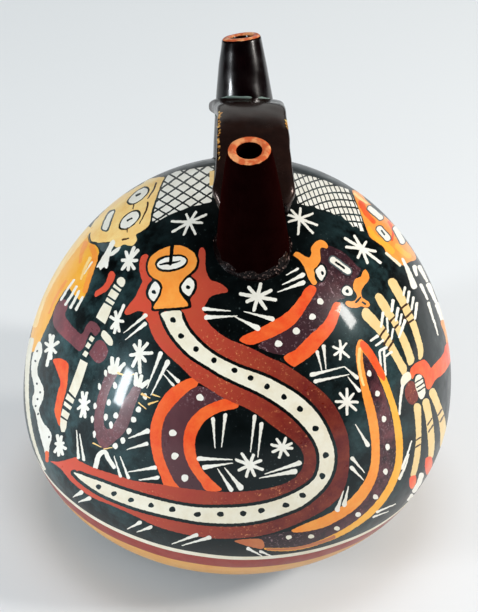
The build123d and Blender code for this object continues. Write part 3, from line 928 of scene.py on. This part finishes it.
patch(
    "white_slip", (189.8, 277.5), (192.5, 280), (194.5, 284.5), (193, 290.5), (190, 295), (188, 296),
    (183.5, 292), (181.3, 287.2), (184, 282), (187, 278.8),
)
dots("black_slip", 4.4, 4.2, (153.9, 292), (188, 287.3))

# Stars and paired strokes that fill the ground
star(
    4.4, (128.8, 260.3), (126, 252), (134, 247.5), (138, 250.3), (136.5, 260.5), (134, 268.5),
    (128.3, 269.5), (122.3, 269), (122.3, 260.3),
)
star(
    3.3, (189.5, 222), (186.5, 214.5), (196, 212), (206, 214.7), (202, 222.8), (195.3, 234),
    (183.8, 234.5), (172.5, 231.8), (172, 221.4),
)
star(
    4, (117, 320.5), (115.5, 311.8), (123.8, 305.5), (122.8, 321.3), (119, 331), (114.5, 332.6),
    (111.5, 328), (110.7, 317),
)
star(
    4, (51, 347.5), (50, 335), (53.3, 336), (58.2, 342), (55.6, 352.5), (50.8, 358.5), (46.8, 365.5),
    (45.5, 351.3), (45.7, 343.3),
)
star(
    4, (84, 404.5), (82.2, 392.5), (86.7, 393), (89, 401.5), (88, 409.3), (85, 416.8), (80.8, 416.3),
    (78.2, 408.5), (79.8, 400),
)
star(
    4.2, (59.5, 445), (57.3, 435.5), (61.3, 437), (63, 443), (65.4, 448.5), (62.5, 454), (58.6, 455),
    (55, 451.7), (56, 443.5),
)
star(
    4.4, (139, 353.5), (140, 341), (147.3, 343.5), (151.7, 353), (145.3, 361), (140, 372.5), (132.7, 366),
    (130.8, 355.3), (134.2, 345),
)
star(
    4.6, (257.5, 297), (260.7, 284), (271, 290.5), (275.5, 299.8), (265.5, 308.5), (254, 310),
    (247, 301.5), (240.5, 294), (248.8, 287.5),
)
star(
    3.8, (282.5, 447.5), (277, 439.5), (285.7, 438.3), (291.3, 443.7), (292, 448.3), (288, 455),
    (279.3, 457.4), (273, 451.8), (271.8, 444.8),
)
star(
    4, (249.8, 465), (242, 454), (253.3, 455), (260.8, 460.5), (262.5, 469.5), (254.6, 475.5),
    (246.3, 476.3), (239, 470), (236.5, 460),
)
star(
    3.2, (299.5, 218.5), (300.5, 208.3), (312.5, 213.8), (317, 225), (312.8, 233), (298.2, 234.3),
    (289, 221.7), (286.5, 214.3), (291.5, 210.3),
)
star(
    3.6, (362, 248.5), (345, 238.3), (354.5, 236), (366, 242), (375.3, 251.3), (380.5, 262.7),
    (367.6, 263), (358, 257.5), (346.3, 247),
)
star(3.2, (341, 350), (340, 341), (346, 343.7), (348.8, 357), (340.2, 359.3), (334.5, 355), (333.5, 347))
star(
    3.6, (347, 402), (347, 389), (353.3, 394), (357.5, 402), (356, 410), (347, 414.5), (339.5, 408),
    (336, 401.5), (340, 393.5),
)
for width, thick, thin in (
    (4.2, (145.5, 315.5), (124, 332.7)), (4.4, (144.8, 324), (125.5, 339.6)),
    (4.5, (160.7, 353.5), (147, 388)), (5, (167.7, 362), (151, 395)), (4, (178.3, 381.3), (167, 370.2)),
    (3, (173, 385), (163.5, 374)), (5.2, (147.5, 431), (128.8, 438.3)),
    (4.2, (146.5, 443.8), (127, 449.4)), (3.2, (120.3, 476), (114, 456)),
    (3.4, (128.3, 477.5), (120.2, 456.3)), (4.2, (155, 467.5), (128, 472)),
    (4.2, (157.5, 477.7), (139, 480)), (3.2, (78.4, 457.5), (76.6, 430.5)),
    (3.2, (83.8, 459.5), (79.6, 434)), (4, (213, 419), (215, 448)), (4, (225.3, 415), (221.6, 447)),
    (4.8, (199, 458.6), (232.5, 459.6)), (5, (204.5, 467.3), (232.5, 463)),
    (4.8, (231, 489.5), (217.6, 468.8)), (6, (240.7, 487.5), (224.6, 467.8)),
    (4, (254.7, 416.5), (250.5, 452)), (4.2, (261.5, 424), (257.8, 457)), (5, (299.3, 463), (265, 474)),
    (5.5, (294.8, 471.4), (259.5, 478)), (5, (81, 492.6), (73, 497)), (4.5, (89, 498.5), (78.5, 502)),
    (4, (140, 522.5), (127.5, 529)), (4, (150.5, 527.3), (137, 532)), (4, (209.5, 537.5), (182, 545.5)),
    (4, (196.5, 535), (172, 544)), (3.4, (248, 548.5), (262, 556)), (3, (260.5, 551.5), (272, 556.3)),
    (5, (303, 282.7), (278, 292)), (5, (302.7, 275), (282.5, 284.7)), (3, (297.5, 269), (286.3, 275)),
    (5, (272.3, 319), (244.3, 311.5)), (6, (257.5, 328), (234.5, 316.5)),
    (4.2, (204, 308.8), (230.5, 311)), (5, (206.5, 317.4), (237, 316)), (4, (323.7, 346.3), (326, 369)),
    (3.5, (317.2, 352), (322, 371)), (4.6, (312, 374.7), (345, 366.5)),
    (4.4, (356.7, 377.3), (344.5, 366.7)), (4.2, (315.5, 381.3), (349, 374.5)),
    (4, (359, 390.5), (348, 377.3)), (4.4, (367.8, 445), (355.5, 424.5)),
    (4, (352.3, 458.3), (364.5, 472.5)), (4.2, (351.7, 467.8), (363.5, 480)),
    (5, (344.3, 504.5), (348.5, 486.5)), (5, (337.3, 509.5), (343.5, 491)),
    (2.6, (377, 512), (395.5, 504)), (2.2, (373.5, 517), (388, 511.5)),
):
    dash("white_slip", width, thick, thin)

# Pale strip along the left outline: a painted reflection of the pale floor on the bottle's edge
stroke(
    "cream_slip", 5, (31.5, 340), (28.4, 357), (27, 376), (27, 396), (28.6, 416), (32.4, 436), (38, 454),
    (44.5, 469), end=2.4,
)

# Rubbed places where the clay shows
for width, first, last in (
    (2.2, (118, 373), (128, 376.5)), (1.2, (124, 378), (134, 374)), (2.6, (142, 394), (150, 398)),
    (2.2, (149, 404), (158, 401)), (1.4, (139, 403), (146, 409)), (1.6, (153, 394.5), (160, 397)),
    (1.4, (93, 443), (101, 447)), (1.2, (104, 449), (112, 447.5)),
):
    stroke("ochre_slip", width, first, last, end=0.8)


# Laying the coats onto the wall: all outlines become edges of one mesh, so every slip has a crisp rim


def ring(reach, spacing, wave=0.0, tilt=0.0):
    """Places round the chamber at one reach, with the unevenness and the tilt of a brush line."""
    start = on_wall(np.array([[reach, 0.0]]))[0][0]
    count = max(12, int(2 * math.pi * (start[0] - chamber_lean * start[2]) / spacing))
    directions = np.linspace(0, 2 * math.pi, count, endpoint=False)
    waves = np.sin(3 * directions + 0.6) + 0.7 * np.sin(7 * directions) + 0.5 * np.sin(19 * directions)
    uneven = reach + wave * waves + tilt * np.cos(directions)
    return np.stack([uneven * np.cos(directions), uneven * np.sin(directions)], axis=1)


def inside(outline, places):
    """Which places lie inside a closed outline that may cross itself."""
    (x0, y0), (x1, y1) = outline.T, np.roll(outline, -1, axis=0).T
    winding = np.zeros(len(places), int)
    boxed = (places > outline.min(axis=0)) & (places < outline.max(axis=0))
    near = np.flatnonzero(np.all(boxed, axis=1))
    x, y = places[near, 0, None], places[near, 1, None]
    side = (x1 - x0) * (y - y0) - (x - x0) * (y1 - y0)
    upward = (y0 <= y) & (y1 > y) & (side > 0)
    downward = (y0 > y) & (y1 <= y) & (side < 0)
    winding[near] = upward.sum(axis=1) - downward.sum(axis=1)
    return winding != 0


def spout_frame(side):
    """Foot of a spout's axis, the axis, and two directions square to it."""
    tilt, lean = math.radians(spout_tilt), math.radians(spout_lean)
    flat = math.cos(lean)
    axis = np.array([-math.sin(lean), side * math.sin(tilt) * flat, math.cos(tilt) * flat])
    drop = math.sqrt(crown_radius**2 - math.hypot(spout_spread, spout_line_shift) ** 2)
    foot = np.array([spout_line_shift, side * spout_spread, crown_centre + drop])
    first = np.cross([0, 1, 0], axis)
    first /= np.linalg.norm(first)
    return foot, axis, first, np.cross(axis, first)


def around_spout(side, radius, count):
    """Places on the wall round a spout's foot."""
    foot, axis, first, second = spout_frame(side)
    angles = np.linspace(0, 2 * math.pi, count, endpoint=False)[:, None]
    return off_wall(foot + radius * (first * np.cos(angles) + second * np.sin(angles)))[1]


# Every outline shakes a little, as a brush does, by this many pixels
brush_shake = 0.12
drawn = np.vstack([outline for slip, outline in coats])
shake = np.sin(0.9 * drawn[:, ::-1]) + np.sin(1.6 * drawn[:, ::-1] + 0.5 * drawn + 1)
drawn = drawn + brush_shake * shake
laid = np.split(onto_pot(drawn), np.cumsum([len(outline) for slip, outline in coats])[:-1])

# The camera sees the front, as far as the horizon. The back, which the photo doesn't show, repeats
# the design turned half round.
horizon_steps = 241
horizon_halvings = 30
bearings = np.linspace(-math.pi, math.pi, horizon_steps)
horizon_reach, too_far = np.zeros(horizon_steps), np.full(horizon_steps, rest_reach)
for step in range(horizon_halvings):
    halfway = (horizon_reach + too_far) / 2
    points, normals = on_wall(np.stack([halfway * np.cos(bearings), halfway * np.sin(bearings)], axis=1))
    seen = np.einsum("ij,ij->i", normals, eye - points) > 0
    horizon_reach, too_far = np.where(seen, halfway, horizon_reach), np.where(seen, too_far, halfway)
horizon = np.stack([horizon_reach * np.cos(bearings), horizon_reach * np.sin(bearings)], axis=1)[:-1]


def in_view(places):
    """Which places lie on the side that the camera sees."""
    limit = np.interp(np.arctan2(places[:, 1], places[:, 0]), bearings, horizon_reach)
    return np.hypot(places[:, 0], places[:, 1]) < limit


# Lines round the foot: the photo's rows of their edges in its middle, and how far they tilt
foot_column = 245
foot_rows = (556.2, 559.4, 567.0)
foot_tilt = 3.3
foot_line_spacing = 1.2
wash_width = 13
foot_pixels = np.array([[foot_column, row] for row in foot_rows])
line_top, line_foot, band_foot = np.linalg.norm(onto_pot(foot_pixels), axis=1)
bands = [
    (slip, ring(reach, foot_line_spacing, wave, foot_tilt))
    for slip, reach, wave in (
        ("tan_slip", band_foot + wash_width, 0.5),
        ("maroon_slip", band_foot, 0.3),
        ("cream_slip", line_foot, 0.15),
        ("black_slip", line_top, 0.15),
    )
]

# Edges of the mesh, and the spacing of the points that fill it
hole_points = 40
seam_spacing = 1.5
filling_start = 2.5
filling_rings = 2.8
filling_spacing = 3.0
joined_within = 1e-5
holes = [around_spout(side, tenon_radius, hole_points) for side in (-1, 1)]
cap_seam, dome_seam, rest_edge = [
    ring(reach, seam_spacing) for reach in (cap_reach, widest_reach, rest_reach)
]
loops = laid + [horizon] + [outline for slip, outline in bands] + holes
loops += [cap_seam, dome_seam, rest_edge]


def edges_round(start, count):
    """Edges of a closed outline whose points are counted from start."""
    return [(start + i, start + (i + 1) % count) for i in range(count)]


places, edges = [], []
for outline in loops:
    edges.extend(edges_round(len(places), len(outline)))
    places.extend(outline)
for outline in laid:
    start = len(places)
    hidden = ~in_view(-outline)
    around = edges_round(start, len(outline))
    edges.extend((i, j) for i, j in around if hidden[i - start] or hidden[j - start])
    places.extend(-outline)
for reach in np.arange(filling_start, rest_reach - 1, filling_rings):
    places.extend(ring(reach, filling_spacing))
net = delaunay_2d_cdt([Vector(place) for place in places], edges, [], 0, joined_within, False)
wall_places = np.array([tuple(place) for place in net[0]])
triangles = np.array([tuple(face) for face in net[2]])
middles = wall_places[triangles].mean(axis=1)
open_holes = inside(holes[0], middles) | inside(holes[1], middles)
triangles, middles = triangles[~open_holes], middles[~open_holes]

slips = list(paints)
slip_of = np.full(len(middles), slips.index("base_slip"))
for slip, outline in bands:
    slip_of[inside(outline, middles)] = slips.index(slip)
front = in_view(middles)
for (slip, pixels), outline in zip(coats, laid):
    slip_of[front & inside(outline, middles)] = slips.index(slip)
    slip_of[~front & inside(-outline, middles)] = slips.index(slip)


# Pieces


def new_object(name, points, faces):
    """Object from points counted from the widest circle, selected and active."""
    bpy.ops.object.select_all(action="DESELECT")
    mesh = bpy.data.meshes.new(name)
    lifted = (np.asarray(points) + (0, 0, widest_height)) * MM
    mesh.from_pydata([tuple(point) for point in lifted], [], [tuple(face) for face in faces])
    made = bpy.data.objects.new(name, mesh)
    bpy.context.collection.objects.link(made)
    made.select_set(True)
    bpy.context.view_layer.objects.active = made
    return made


def keep(piece, node_name):
    """Puts a piece in the place of its CAD node."""
    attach(piece, "root")
    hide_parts(node_name)


def painted_course(name, node_name, chosen, floor=False):
    """One course of the chamber: its painted outer face, thickened inward to the wall.

    The outer and inner faces get the true normals of the wall, so that the paint's edges don't
    show in the shading. The flat that the bottle rests on and the rims keep their own.
    """
    used, corners = np.unique(triangles[chosen], return_inverse=True)
    faces = [list(face) for face in corners.reshape(-1, 3)]
    points, normals = on_wall(wall_places[used])
    if floor:
        rim = np.flatnonzero(np.hypot(*wall_places[used].T) > rest_reach - 0.01)
        faces.append(list(rim[np.argsort(-np.arctan2(*wall_places[used][rim].T[::-1]))]))
    piece = new_object(name, points, faces)
    for slip in slips:
        piece.data.materials.append(paints[slip])
    indices = list(slip_of[chosen]) + [slips.index("base_slip")] * floor
    piece.data.polygons.foreach_set("material_index", np.array(indices, np.int32))
    bpy.ops.object.shade_smooth()
    bpy.ops.object.modifier_add(type="SOLIDIFY")
    wall = piece.modifiers[0]
    wall.thickness = chamber_wall * MM
    wall.offset = -1
    wall.material_offset = wall.material_offset_rim = len(slips)
    bpy.ops.object.modifier_apply(modifier=wall.name)
    mesh = piece.data
    flat = np.empty(3 * len(mesh.vertices))
    mesh.vertices.foreach_get("co", flat)
    depth, spots_on_wall = off_wall(flat.reshape(-1, 3) / MM - (0, 0, widest_height))
    outer = depth > -chamber_wall / 2
    normals = on_wall(spots_on_wall)[1] * np.where(outer, 1, -1)[:, None]
    turned = np.zeros((len(mesh.loops), 3))
    for face in mesh.polygons:
        sides = {bool(outer[vertex]) for vertex in face.vertices}
        if len(sides) == 1 and len(face.vertices) < 5:
            turned[list(face.loop_indices)] = normals[list(face.vertices)]
    mesh.normals_split_custom_set([tuple(normal) for normal in turned])
    keep(piece, node_name)


in_cap = inside(cap_seam, middles)
in_dome = inside(dome_seam, middles)
painted_course("painted_crown", "crown_cap", in_cap)
painted_course("painted_shoulder", "shoulder_ring", in_dome & ~in_cap)
painted_course("painted_bowl", "base_bowl", ~in_dome, floor=True)


def hand_set(points, size, amount):
    """Moves points by the slow unevenness of a hand-made surface."""
    waves = np.zeros_like(points)
    for number in range(1, 5):
        turn_by = np.array([1.3, 2.1, 0.7]) * number
        begin = number * np.array([0.4, 1.9, 3.1])
        waves += np.sin(points @ (turn_by / size).reshape(3, 1) + begin) / number
    return points + amount * waves / 2


def quads(count, across, closed=True):
    """Faces between rows of points, closed along each row, and from the last row to the first or not."""
    faces = []
    for i in range(count if closed else count - 1):
        for j in range(across):
            k, m = (i + 1) % count, (j + 1) % across
            faces.append((i * across + j, i * across + m, k * across + m, k * across + j))
    return faces


def grid(name, rows):
    """Surface through rows of points, closed both ways."""
    return new_object(name, np.vstack(rows), quads(len(rows), len(rows[0])))


def closing_in(low, high, beyond):
    """Place between low and high from which beyond holds, found by halving."""
    for step in range(24):
        middle = (low + high) / 2
        low, high = (low, middle) if beyond(middle) else (middle, high)
    return middle


def finish_piece(piece, node_name, material):
    """Outward normals, smooth shading, material and place of a piece."""
    bpy.ops.object.mode_set(mode="EDIT")
    bpy.ops.mesh.select_all(action="SELECT")
    bpy.ops.mesh.normals_make_consistent(inside=False)
    bpy.ops.object.mode_set(mode="OBJECT")
    bpy.ops.object.shade_smooth()
    piece.data.materials.append(material)
    keep(piece, node_name)


# Spouts. Heights are counted along the axis from the foot, and the tenon reaches below it.
spout_sides = 72
lip_rows = 9
spout_bury = -6
tenon_shoulder = -6.2
tenon_end = -7.9
lip_height = spout_length - lip_round
wear_from, wear_to = spout_length - 1.0, spout_length - 0.5


def spout_radius(height):
    """Outer radius of a spout at a height along its axis, a little fuller under the lip."""
    share = height / spout_length
    fuller = 0.35 * math.sin(math.pi * max(0.0, share)) - 0.25 * max(0.0, share) ** 3
    return spout_foot_radius + (mouth_radius - spout_foot_radius) * share + fuller


def spout(name, side, rim_tilt, rim_side, stretch, girth, material):
    """Tapered tube with a worn round lip, its bore, and the tenon through the crown."""
    foot, axis, first, second = spout_frame(side)
    under_lip = np.linspace(spout_length - 4.6, lip_height, 9)
    heights = np.append(np.linspace(spout_bury, spout_length - 5, 34), under_lip)
    profile = [(spout_radius(height), height) for height in heights]
    lip_middle = (spout_radius(spout_length) + mouth_bore_radius) / 2
    lip_half = spout_radius(spout_length) - lip_middle
    for angle in np.linspace(0.2, math.pi - 0.2, lip_rows):
        radius = lip_middle + lip_half * math.cos(angle)
        profile.append((radius, lip_height + lip_round * math.sin(angle)))
    for height in np.linspace(spout_length - 1.3, 0, 14):
        narrow = height / spout_length
        profile.append((foot_bore_radius + (mouth_bore_radius - foot_bore_radius) * narrow, height))
    profile += [(foot_bore_radius, tenon_end), (tenon_radius, tenon_end), (tenon_radius, tenon_shoulder)]
    angles = np.linspace(0, 2 * math.pi, spout_sides, endpoint=False)[:, None]
    rows, wear = [], []
    for number, (radius, height) in enumerate(profile):
        cant = max(0.0, height / spout_length) ** 3 * radius
        tip = cant * (rim_side * np.cos(angles) + rim_tilt * np.sin(angles))
        wide = radius * (girth if height > 0 else 1)
        out = first * np.cos(angles) + second * np.sin(angles)
        rows.append(hand_set(foot + wide * out + axis * (stretch * height + tip), 9.0, 0.14))
        in_bore = number >= len(heights) + lip_rows
        share = (height - wear_from) / (wear_to - wear_from)
        wear += spout_sides * [0.0 if in_bore else min(1.0, max(0.0, share))]
    piece = grid(name + "_clay", rows)
    piece.data.attributes.new("wear", "FLOAT", "POINT").data.foreach_set("value", wear)
    finish_piece(piece, name, material)


spout("front_spout", -1, -0.073, 0.0, 1.02, 1.0, front_slip)
spout("rear_spout", 1, 0.1, 0.07, 1.01, 1.04, rear_slip)

# Strap. A share is a share of its half length, from -1 in front to 1 behind.
strap_rows = 61
strap_sides = 56
strap_widths = (
    (0, strap_waist), (0.43, strap_waist + 0.9), (0.72, 26.3), (0.88, strap_flare_width),
    (1.0, strap_tip_width),
)
# The hand has set it a little to the right, let its front end droop and flattened its rear half
strap_shift = 1.0
rear_return = 0.8
front_droop = 2.2
rear_flattening = 2.2

seat = spout_frame(1)[0] + strap_seat * spout_frame(1)[1]
strap_half_span = seat[1] - strap_cheek
strap_bend = (strap_half_span**2 + strap_rise**2) / (2 * strap_rise)
strap_middle = np.array([seat[0], 0, seat[2] + strap_rise - strap_bend])
strap_half_angle = math.asin(strap_half_span / strap_bend)
strap_rim = np.linspace(0, 2 * math.pi, strap_sides, endpoint=False)


def strap_section(share):
    """Rounded section of the strap at a share, and each point's place across it from -1 to 1."""
    width = np.interp(abs(share), *zip(*strap_widths))
    angle = share * strap_half_angle
    up = np.array([0, math.sin(angle), math.cos(angle)])
    across = np.sign(np.cos(strap_rim)) * np.abs(np.cos(strap_rim)) ** 0.42 * width / 2
    thick = np.sign(np.sin(strap_rim)) * np.abs(np.sin(strap_rim)) ** 0.62 * strap_thickness / 2
    points = strap_middle + strap_bend * up + np.outer(across, [1, 0, 0]) + np.outer(thick, up)
    flattened = rear_flattening * math.exp(-(((share - 0.5) / 0.22) ** 2))
    points[:, 2] -= front_droop * max(0.0, -share) ** 8 + flattened
    points[:, 0] += strap_shift - rear_return * max(0.0, share) ** 4
    return points, across / (width / 2)


def strap():
    """Arched strap, waisted in the middle, that ends inside the spouts' walls."""
    shares = np.linspace(-1, 1, strap_rows)
    sections = [strap_section(share) for share in shares]
    rows = [hand_set(section[0], 11.0, 0.2) for section in sections]
    front_end = tuple(range(strap_sides - 1, -1, -1))
    rear_end = tuple((strap_rows - 1) * strap_sides + j for j in range(strap_sides))
    faces = [front_end, rear_end] + quads(strap_rows, strap_sides, closed=False)
    piece = new_object("bridge_strap_clay", np.vstack(rows), faces)
    wear = []
    for share, section in zip(shares, sections):
        across = section[1]
        rubbed = np.interp(share, (-0.72, -0.6, 0.02, 0.14), (0, 0.5, 0.6, 0))
        left_edge = rubbed * np.exp(-(((across + 0.93) / 0.09) ** 2)) * (np.sin(strap_rim) > -0.1)
        right_edge = 0.6 * np.clip((across - 0.82) * 8, 0, 1) * math.exp(-(((share + 0.15) / 0.14) ** 2))
        wear.extend(np.maximum(left_edge, right_edge))
    piece.data.attributes.new("wear", "FLOAT", "POINT").data.foreach_set("value", wear)
    finish_piece(piece, "bridge_strap", bridge_slip)


strap()

# Lutes: beads of clay in the corners where the pieces meet
foot_lute_rows = 90
foot_lute_climb = 4.5
foot_lute_spread = 1.0
foot_search = 8.0
strap_lute_sides = 12
strap_lute_wide = 1.0
strap_lute_tall = 0.8


def foot_lute(name, side):
    """Clay pressed into the corner round a spout's foot, with an uneven thumbed edge."""
    foot, axis, first, second = spout_frame(side)
    rows = []
    for angle in np.linspace(0, 2 * math.pi, foot_lute_rows, endpoint=False):
        out = first * math.cos(angle) + second * math.sin(angle)

        def above(height):
            return off_wall((foot + axis * height + out * spout_radius(height))[None])[0][0] > 0

        height = closing_in(-foot_search, foot_search, above)
        uneven = math.sin(3 * angle + side) + 0.6 * math.sin(7 * angle) + 0.4 * math.sin(13 * angle + 1)
        climb, spread = foot_lute_climb + 0.8 * uneven, foot_lute_spread + 0.2 * uneven
        top = foot + axis * (height + climb) + out * (spout_radius(height + climb) - 0.05)
        corner = foot + axis * height + out * spout_radius(height)
        point, normal = on_wall(off_wall((corner + out * spread)[None])[1])
        edge = point[0] + normal[0] * 0.05
        row = []
        for t in np.linspace(0, 1, 10):
            bulge = 0.12 * math.sin(math.pi * t) * math.sin(11 * angle + 5 * t)
            row.append((1 - t) ** 2 * top + 2 * t * (1 - t) * corner + t**2 * edge + (out + axis) * bulge)
        row += [edge - normal[0] * 1.2, corner - axis * 1.5 - out * 1.5, top - out * 1.2 - axis]
        rows.append(np.array(row))
    finish_piece(grid(name + "_clay", rows), name, lute_slip)


foot_lute("front_spout_lute", -1)
foot_lute("rear_spout_lute", 1)


def strap_lute(name, side, material):
    """Clay smoothed round the end of the strap where it meets a spout."""
    foot, axis = spout_frame(side)[:2]
    along = np.array([0, -side * math.cos(strap_half_angle), math.sin(strap_half_angle)])
    angles = np.linspace(0, 2 * math.pi, strap_lute_sides, endpoint=False)[:, None]
    bead = strap_lute_wide * along * np.cos(angles) + strap_lute_tall * axis * np.sin(angles)
    rows = []
    for number in range(strap_sides):

        def within(share):
            point = strap_section(side * share)[0][number]
            height = (point - foot) @ axis
            return np.linalg.norm(point - foot - height * axis) - spout_radius(height) <= 0

        point = strap_section(side * closing_in(0.5, 1.0, within))[0][number]
        thick = 1 + 0.2 * math.sin(1.9 * number) * math.sin(0.7 * number)
        rows.append(point + thick * bead)
    finish_piece(grid(name + "_clay", rows), name, material)


strap_lute("front_bridge_lute", -1, lute_slip)
strap_lute("rear_bridge_lute", 1, painted_highlight_lute_slip)

# Studio: pale paper under the bottle and a dim pale room
bpy.ops.mesh.primitive_plane_add(size=6)
floor = bpy.context.active_object
floor.name = "paper_floor"
paper = bpy.data.materials.new("white_paper")
paper.use_nodes = True
paper_shader = paper.node_tree.nodes["Principled BSDF"]
paper_shader.inputs["Base Color"].default_value = colour("#e0e2e5")
paper_shader.inputs["Roughness"].default_value = 0.9
paper_shader.inputs["Specular IOR Level"].default_value = 0.1
floor.data.materials.append(paper)

world = bpy.data.worlds.new("studio")
world.use_nodes = True
room = world.node_tree.nodes["Background"]
room.inputs["Color"].default_value = colour("#e4f0f2")
room.inputs["Strength"].default_value = 0.39
world.cycles_visibility.glossy = False
bpy.context.scene.world = world

lit_place = Vector((0, 0, 90 * MM))


def softbox(name, azimuth, elevation, distance, size, power, tint, mirrored=True):
    """Rectangular light that faces the bottle from this direction, mirrored in its shine or not."""
    azimuth, elevation = math.radians(azimuth), math.radians(elevation)
    flat = math.cos(elevation)
    out = Vector((flat * math.cos(azimuth), flat * math.sin(azimuth), math.sin(elevation)))
    bpy.ops.object.light_add(type="AREA", location=lit_place + out * distance)
    lamp = bpy.context.active_object
    lamp.name = name
    lamp.rotation_euler = out.to_track_quat("Z", "Y").to_euler()
    lamp.data.shape = "RECTANGLE"
    lamp.data.size, lamp.data.size_y = size
    lamp.data.energy = power
    lamp.data.color = colour(tint)[:3]
    lamp.visible_glossy = mirrored


# Key from the right, a glint beside it, and softer light from the front, the left, above and behind.
# The glint, the fill and the back light are the ones that the burnished slip mirrors.
softbox("key_light", 13, 20, 1.7, (0.28, 0.28), 12, "#fff6ec", mirrored=False)
softbox("glint_light", -16, 33, 1.2, (0.12, 0.23), 6.2, "#fffaf4")
softbox("front_light", -50, 22, 1.6, (0.5, 0.5), 3.5, "#fffdfa", mirrored=False)
softbox("fill_light", -154, 8, 1.0, (0.09, 0.25), 6.4, "#f6fbff")
softbox("top_light", -90, 87, 2.2, (0.85, 0.85), 15, "#fcfdff", mirrored=False)
softbox("back_light", 90, 22, 1.5, (1.4, 0.8), 2.4, "#f2f8f6")

film_width = 36
bpy.ops.object.camera_add(location=Vector(eye + (0, 0, widest_height)) * MM)
camera = bpy.context.active_object
camera.rotation_euler = Matrix((eye_right, eye_up, -look)).transposed().to_euler()
camera.data.sensor_fit = "AUTO"
camera.data.sensor_width = film_width
camera.data.lens = focal_pixels * film_width / photo_height
camera.data.shift_x = -picture_shift / photo_height
camera.data.clip_start = 0.01
camera.data.dof.use_dof = False
bpy.context.scene.camera = camera
bpy.context.scene.view_settings.view_transform = "Standard"
